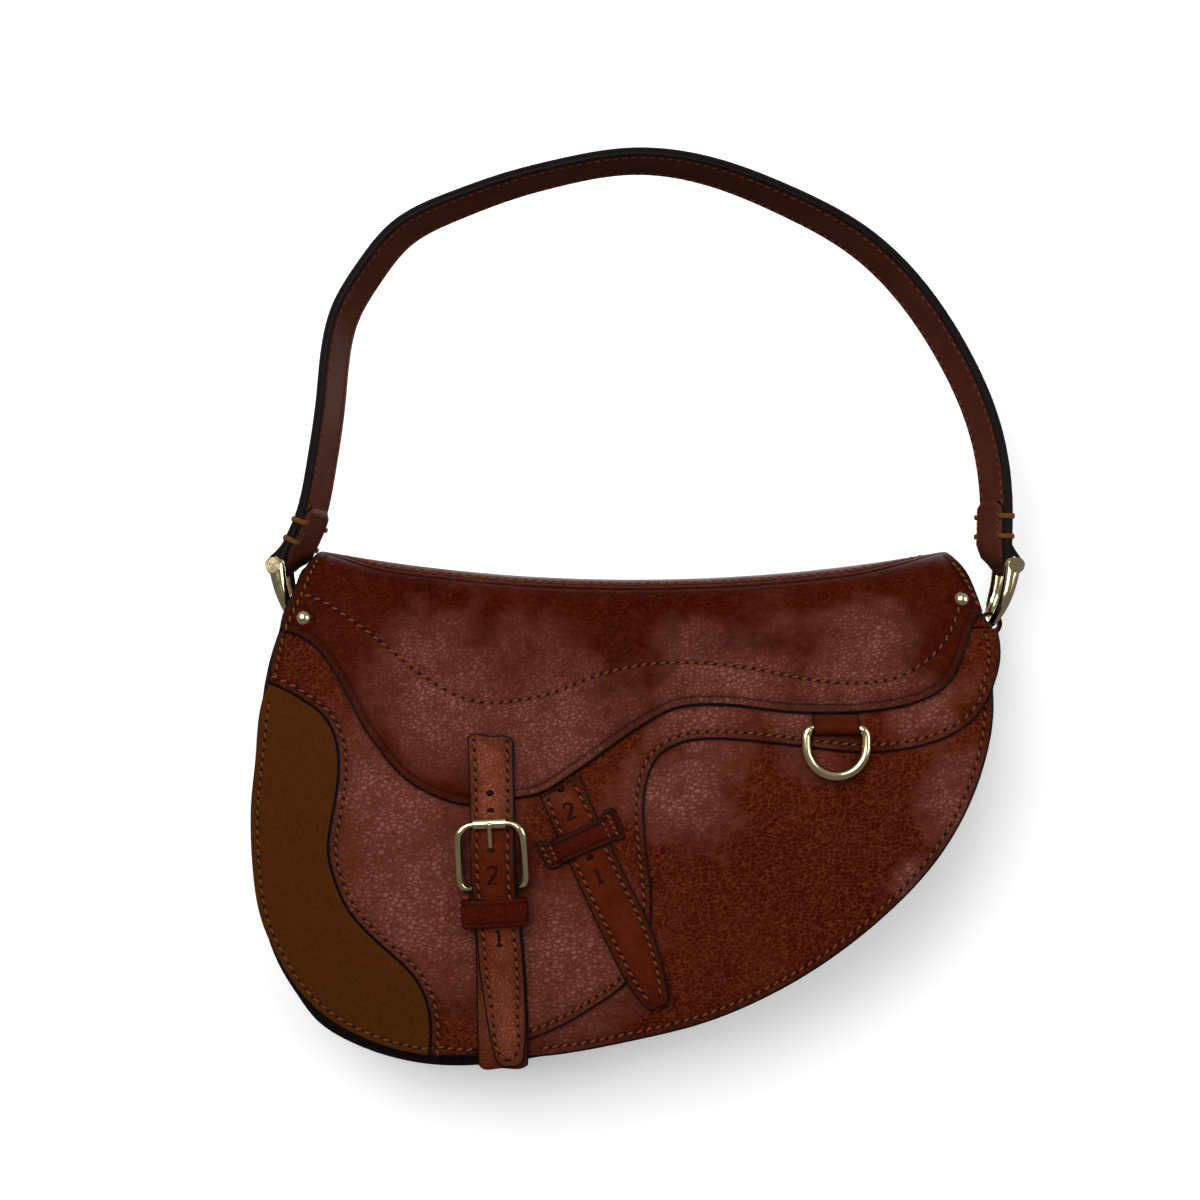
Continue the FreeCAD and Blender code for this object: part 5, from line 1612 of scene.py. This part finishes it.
# %% Screw heads and bar tacks
def dome(name, place, radius, tall, material):
    """A low cap facing the viewer: ring radius = radius x sine, height = tall x cosine."""
    swing = np.linspace(0.001, np.pi / 2, 7)[:, None]
    angle = full_turn(20)[None]
    x = place[0] + radius * np.sin(swing) * np.cos(angle)
    z = place[2] + radius * np.sin(swing) * np.sin(angle)
    y = place[1] - tall * np.cos(swing) * np.ones_like(angle)
    faces = [grid_faces(7, 20, closed_columns=True)[:, ::-1], end_caps(140, 20)[:, ::-1]]
    return put_mesh(name, np.stack([x, y, z], axis=-1), faces, [material])


for mirror, name in ((-1, "left"), (1, "right")):
    screw = dome("screw_head_" + name, (mirror * (pin_x - 0.6), -bow_radius - 2.2, pin_z), 1.5, 0.4, brass)
    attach(screw, "handle")
tack_depth = np.array([-1.9, -2.0, -1.4, 0.6, 2.6, 3.55, 3.72, 3.70])
tack_y = np.array([9.0, 9.8, 10.12, 10.12, 10.12, 9.9, 8.6, 7.4])
tack_count = len(tack_y)
for start, end in ((0.0, "left"), (arch_length[-1], "right")):
    for number, way in enumerate((3.2, 11.2)):
        for edge, reach in (("near", -1.0), ("far", 1.0)):
            at = np.full(tack_count, abs(start - way))
            on_face = handle_face(1)(reach * tack_y, at, tack_depth - handle_thick / 2)
            along = handle_face(1)(reach * tack_y, at + 0.5, tack_depth - handle_thick / 2) - on_face
            tack = wire(f"bar_tack_{end}_{edge}_{number + 1}", on_face, along,
                        1.05 * rounded_ends(tack_count, 2), 0.34, suede_thread, around=8)
            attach(tack, "handle")

# %% Buckle frame
bar_place = np.array(joints["prong_tilt"]["pos_m"]) / MM
roller_place = np.array(joints["roller_spin"]["pos_m"]) / MM
strap_across = np.array([np.cos(np.radians(3.0)), 0.0, np.sin(np.radians(3.0))])
strap_along = roller_place - bar_place
frame_tall = np.linalg.norm(strap_along)
strap_along = strap_along / frame_tall
frame_half = 12.5
corner = 6.0
corner_turn = np.linspace(0, np.pi / 2, 8)
cx = frame_half - corner + corner * np.sin(corner_turn)
top_v = frame_tall - corner + corner * np.cos(corner_turn)
low_v = corner * 0.5 - corner * 0.5 * np.cos(corner_turn)
low_x = frame_half - corner * 0.5 + corner * 0.5 * np.sin(corner_turn)
u = np.concatenate([cx, low_x[::-1], -low_x, -cx[::-1]])
v = np.concatenate([top_v, low_v[::-1], low_v, top_v[::-1]])
loop_uv = closed_steps(u, v, 1.2)
path = bar_place + loop_uv[:, :1] * strap_across + loop_uv[:, 1:] * strap_along
frame_out = np.cross(strap_along, strap_across)
on_rail = np.clip(np.abs(loop_uv[:, 0]) - 9.0, 0, 2.5) / 2.5
buckle = wire("buckle_bow", path, frame_out, 1.1 + 0.75 * on_rail, 1.1 + 0.6 * on_rail, gold, closed=True)
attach(buckle, "flap")
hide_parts("buckle_frame")

# %% [markdown]
# The D-ring is bent from round bar: a straight top with rounded corners, two legs and a half circle.
# It hangs where the joint's own ring hangs, so its direction is read from that ring's lowest points.

# %% D-ring
ring_half, ring_corner, ring_leg, ring_wire = 11.6, 3.4, 6.8, 1.95
old_ring = nodes["d_ring"].data
ring_spots = np.empty(len(old_ring.vertices) * 3)
old_ring.vertices.foreach_get("co", ring_spots)
ring_spots = ring_spots.reshape(-1, 3) / MM
hang = ring_spots[ring_spots[:, 2] < ring_spots[:, 2].min() + 2.0].mean(axis=0) - ring_bar
hang = unit(np.array([0.0, hang[1] - 0.4, hang[2]]))
bend = np.linspace(0, np.pi / 2, 9)
bow = np.linspace(0, np.pi, 33)
u = np.concatenate([ring_half - ring_corner + ring_corner * np.sin(bend), ring_half * np.cos(bow),
                    -ring_half + ring_corner - ring_corner * np.cos(bend)])
v = np.concatenate([ring_corner - ring_corner * np.cos(bend), ring_leg + ring_half * np.sin(bow),
                    ring_corner - ring_corner * np.sin(bend)])
ring_uv = closed_steps(u, v, 0.9)
path = ring_bar + ring_uv[:, :1] * [1.0, 0.0, 0.0] + ring_uv[:, 1:] * hang
thin_bar = ring_wire - 0.3 * (ring_uv[:, 1] < 0.4)
ring = wire("d_ring_bent_bar", path, np.cross([1.0, 0.0, 0.0], hang), thin_bar, thin_bar, gold, closed=True)
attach(ring, "d_ring")
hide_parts("d_ring")

# %% [markdown]
# The keeper is a band of dark hide bent round the strap, with a pressed line near each edge. A
# rounded oblong is the path, and the band's own section, crowned and pressed, is carried round it.

# %% Sliding keeper
keeper_box = np.array(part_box("buckle_keeper")) / MM
keeper_middle = keeper_box.mean(axis=0)
slide = np.array(joints["keeper_slide"]["axis"], float)
keeper_half_x = 12.75
keeper_half_y = 3.45
keeper_tall = 10.6
keeper_ply = 0.9
turn = full_turn(72)
oblong = np.column_stack([np.sign(np.cos(turn)) * np.abs(np.cos(turn)) ** 0.34,
                          np.sign(np.sin(turn)) * np.abs(np.sin(turn)) ** 0.42])
out_way = unit(np.cross(strap_across, slide))
out_way = out_way if out_way[1] < 0 else -out_way
band_share = np.linspace(-1, 1, 33)
keeper_lines = np.exp(-((np.abs(band_share) - 0.66) / 0.07) ** 2)
crown = 0.25 * (1 - band_share ** 2) - 0.22 * keeper_lines
crown -= 0.35 * np.clip((np.abs(band_share) - 0.9) / 0.1, 0, 1) ** 2


def keeper_grid(grow):
    """The oblong pushed outward by the crown at each place along the band's height."""
    push = 1 + (crown * (grow > 0) + grow)[None, :, None] / np.array([keeper_half_x, keeper_half_y])
    flat = oblong[:, None] * np.array([keeper_half_x - keeper_ply, keeper_half_y - keeper_ply]) * push
    along = band_share * keeper_tall / 2
    return (keeper_middle + flat[..., :1] * strap_across + flat[..., 1:] * out_way
            + along[None, :, None] * slide)


# The pressed lines are also darkened in the finish, as painted shade.
keeper = shell("sliding_keeper", keeper_grid(keeper_ply)[::-1], keeper_grid(0.0)[::-1],
               [oxblood, edge_paint], closed=True, press=np.tile(keeper_lines, (len(oblong), 1)))
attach(keeper, "keeper")
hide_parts("buckle_keeper")

# %% Side tabs
tab_loop = 4.05
tab_wide = 4.5
for mirror, name in ((-1, "left"), (1, "right")):
    box = np.array(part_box("side_tab_" + name)) / MM
    middle_x = (body_line[0, 0] + 0.9) if mirror < 0 else (body_line[-1, 0] - 0.9)
    ring_x = mirror * (shackle_x - shackle_tall * np.sin(shackle_lean))
    ring_z = box[1, 2] - 4.7
    arc = np.radians(np.linspace(-35, 215, 17))
    ring = np.column_stack([ring_x + tab_loop * np.cos(arc), ring_z + tab_loop * np.sin(arc)])
    lower = np.array([[1.75, -8.5], [1.7, -14.0], [1.7, -20.0], [1.7, -26.0], [1.7, box[0, 2] - ring_z]])
    right_leg = lower[::-1] + [middle_x, ring_z]
    left_leg = lower * [-1, 1] + [middle_x, ring_z]
    tab_path = smooth_run(np.vstack([right_leg, ring, left_leg]), 1.0)
    tab_side = sideways(tab_path, False)
    on_loop = np.clip((tab_path[:, 1] - ring_z + 16.0) / 10.0, 0, 1)
    tab_width = np.linspace(-1, 1, 9) * (tab_wide - 1.9 * eased(on_loop))[:, None]
    lens = 0.7 - 0.25 * np.clip((np.abs(np.linspace(-tab_wide, tab_wide, 9)) - 3.8) / 0.7, 0, 1) ** 2
    grids = []
    for sign in (-1, 1):
        flat = tab_path[:, None] + sign * tab_side[:, None] * lens[None, :, None]
        grids.append(np.stack([flat[..., 0], tab_width, flat[..., 1]], axis=-1))
    tab = shell("side_tab_leather_" + name, grids[0], grids[1], [oxblood, oxblood])
    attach(tab, "bag")
    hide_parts("side_tab_" + name)

# %% Better finishes for the metal that stays
stays = ("shackle_pin", "rivet", "buckle_roller", "buckle_prong", "flap_magnet", "panel_magnet")
for name, node in nodes.items():
    if name.startswith(stays):
        node.data.materials[0] = gold


# %% [markdown]
# ## Stage, light and camera
# The bag hangs in front of a white backdrop, which takes a soft shadow, as in a plain product photo.

# %% Stage
def stage_plane(name, corners, material):
    """One four-cornered sheet of the stage."""
    piece = put_mesh(name, corners, [np.array([[0, 1, 2, 3]])], [material], smooth=False)


backdrop_paint, tree, shader, where = new_material("backdrop_white", 0.9)
shader.inputs["Base Color"].default_value = (0.92, 0.92, 0.92, 1.0)
shader.inputs["Specular IOR Level"].default_value = 0.0
shader.inputs["Emission Color"].default_value = (1.0, 1.0, 1.0, 1.0)
shader.inputs["Emission Strength"].default_value = 0.26


def only_looked_at(tree, shader):
    """Show a stage sheet to the camera on its front side and let every other ray through."""
    facing = tree.nodes.new("ShaderNodeNewGeometry")
    sort = tree.nodes.new("ShaderNodeLightPath")
    clear = tree.nodes.new("ShaderNodeBsdfTransparent")
    choice = tree.nodes.new("ShaderNodeMixShader")
    looked_at = math_node(tree, "MAXIMUM", sort.outputs["Is Camera Ray"], sort.outputs["Is Transmission Ray"])
    front_side = math_node(tree, "SUBTRACT", 1.0, facing.outputs["Backfacing"])
    tree.links.new(math_node(tree, "MULTIPLY", looked_at, front_side), choice.inputs[0])
    tree.links.new(clear.outputs[0], choice.inputs[1])
    tree.links.new(shader.outputs[0], choice.inputs[2])
    tree.links.new(choice.outputs[0], tree.nodes["Material Output"].inputs["Surface"])


only_looked_at(tree, shader)
floor_paint = plain_finish("floor_white", (0.88, 0.88, 0.88), (0.90, 0.90, 0.90), 2.0, 0.9)
floor_tree = floor_paint.node_tree
floor_shader = floor_tree.nodes["Principled BSDF"]
floor_shader.inputs["Specular IOR Level"].default_value = 0.0
floor_shader.inputs["Emission Strength"].default_value = 1.0
floor_place = floor_tree.nodes.new("ShaderNodeTexCoord").outputs["Object"]
from_bag = vector_node(floor_tree, "LENGTH", floor_place)["Value"]
glow = spread(floor_tree, from_bag, 0.7, 1.7, 0.30, 1.0)
floor_tree.links.new(glow, floor_shader.inputs["Emission Color"])
only_looked_at(floor_tree, floor_shader)
wall_y = back_y + 1.5
wall = 3000.0
floor_z = -460.0
four_corners = [(-1, 0), (1, 0), (1, 1), (-1, 1)]
stage_plane("backdrop", [(a * wall, wall_y, wall if b else floor_z) for a, b in four_corners], backdrop_paint)
stage_plane("floor", [(a * wall, wall if b else -wall, floor_z) for a, b in four_corners], floor_paint)

# %% [markdown]
# The air is dim at eye level and brighter overhead, so polished metal has something dark and something
# bright to mirror. The camera itself sees it plain white. Three large soft lamps do most of the work.

# %% Light
world = bpy.data.worlds.new("studio_air")
bpy.context.scene.world = world
world.use_nodes = True
air = world.node_tree
ray = air.nodes.new("ShaderNodeLightPath")
background = air.nodes["Background"]
background.inputs["Color"].default_value = (1.0, 1.0, 1.0, 1.0)
heading = air.nodes.new("ShaderNodeSeparateXYZ")
air.links.new(air.nodes.new("ShaderNodeTexCoord").outputs["Generated"], heading.inputs["Vector"])
overhead = spread(air, heading.outputs["Z"], -0.1, 0.8, 0.17, 0.34)
seen = math_node(air, "MAXIMUM", ray.outputs["Is Camera Ray"], ray.outputs["Is Transmission Ray"])
air.links.new(math_node(air, "MAXIMUM", overhead, seen), background.inputs["Strength"])


def lamp(name, place, aim, size, power):
    """A square soft light in metres, turned to face its aim."""
    light = bpy.data.lights.new(name, "AREA")
    light.size = size
    light.energy = power
    made = bpy.data.objects.new(name, light)
    made.location = place
    made.rotation_euler = (Vector(aim) - Vector(place)).to_track_quat("-Z", "Y").to_euler()
    bpy.context.collection.objects.link(made)


lamp("key_light", (-0.6, -1.6, 0.6), (0, 0, -0.2), 1.4, 34.0)
lamp("fill_light", (1.5, -1.3, 0.2), (0, 0, -0.2), 1.2, 14.0)
lamp("back_light", (0.6, 1.8, 0.7), (0, 0, -0.25), 1.8, 44.0)

# %% Camera and view
camera = bpy.data.cameras.new("photo_camera")
camera.sensor_width = 36.0
camera.lens = camera.sensor_width * camera_distance / (photo_pixels * photo_scale)
camera.dof.use_dof = False
photographer = bpy.data.objects.new("photo_camera", camera)
photographer.location = eye * MM
photographer.rotation_euler = (np.pi / 2, 0.0, 0.0)
bpy.context.collection.objects.link(photographer)
bpy.context.scene.camera = photographer
bpy.context.scene.view_settings.view_transform = "Standard"
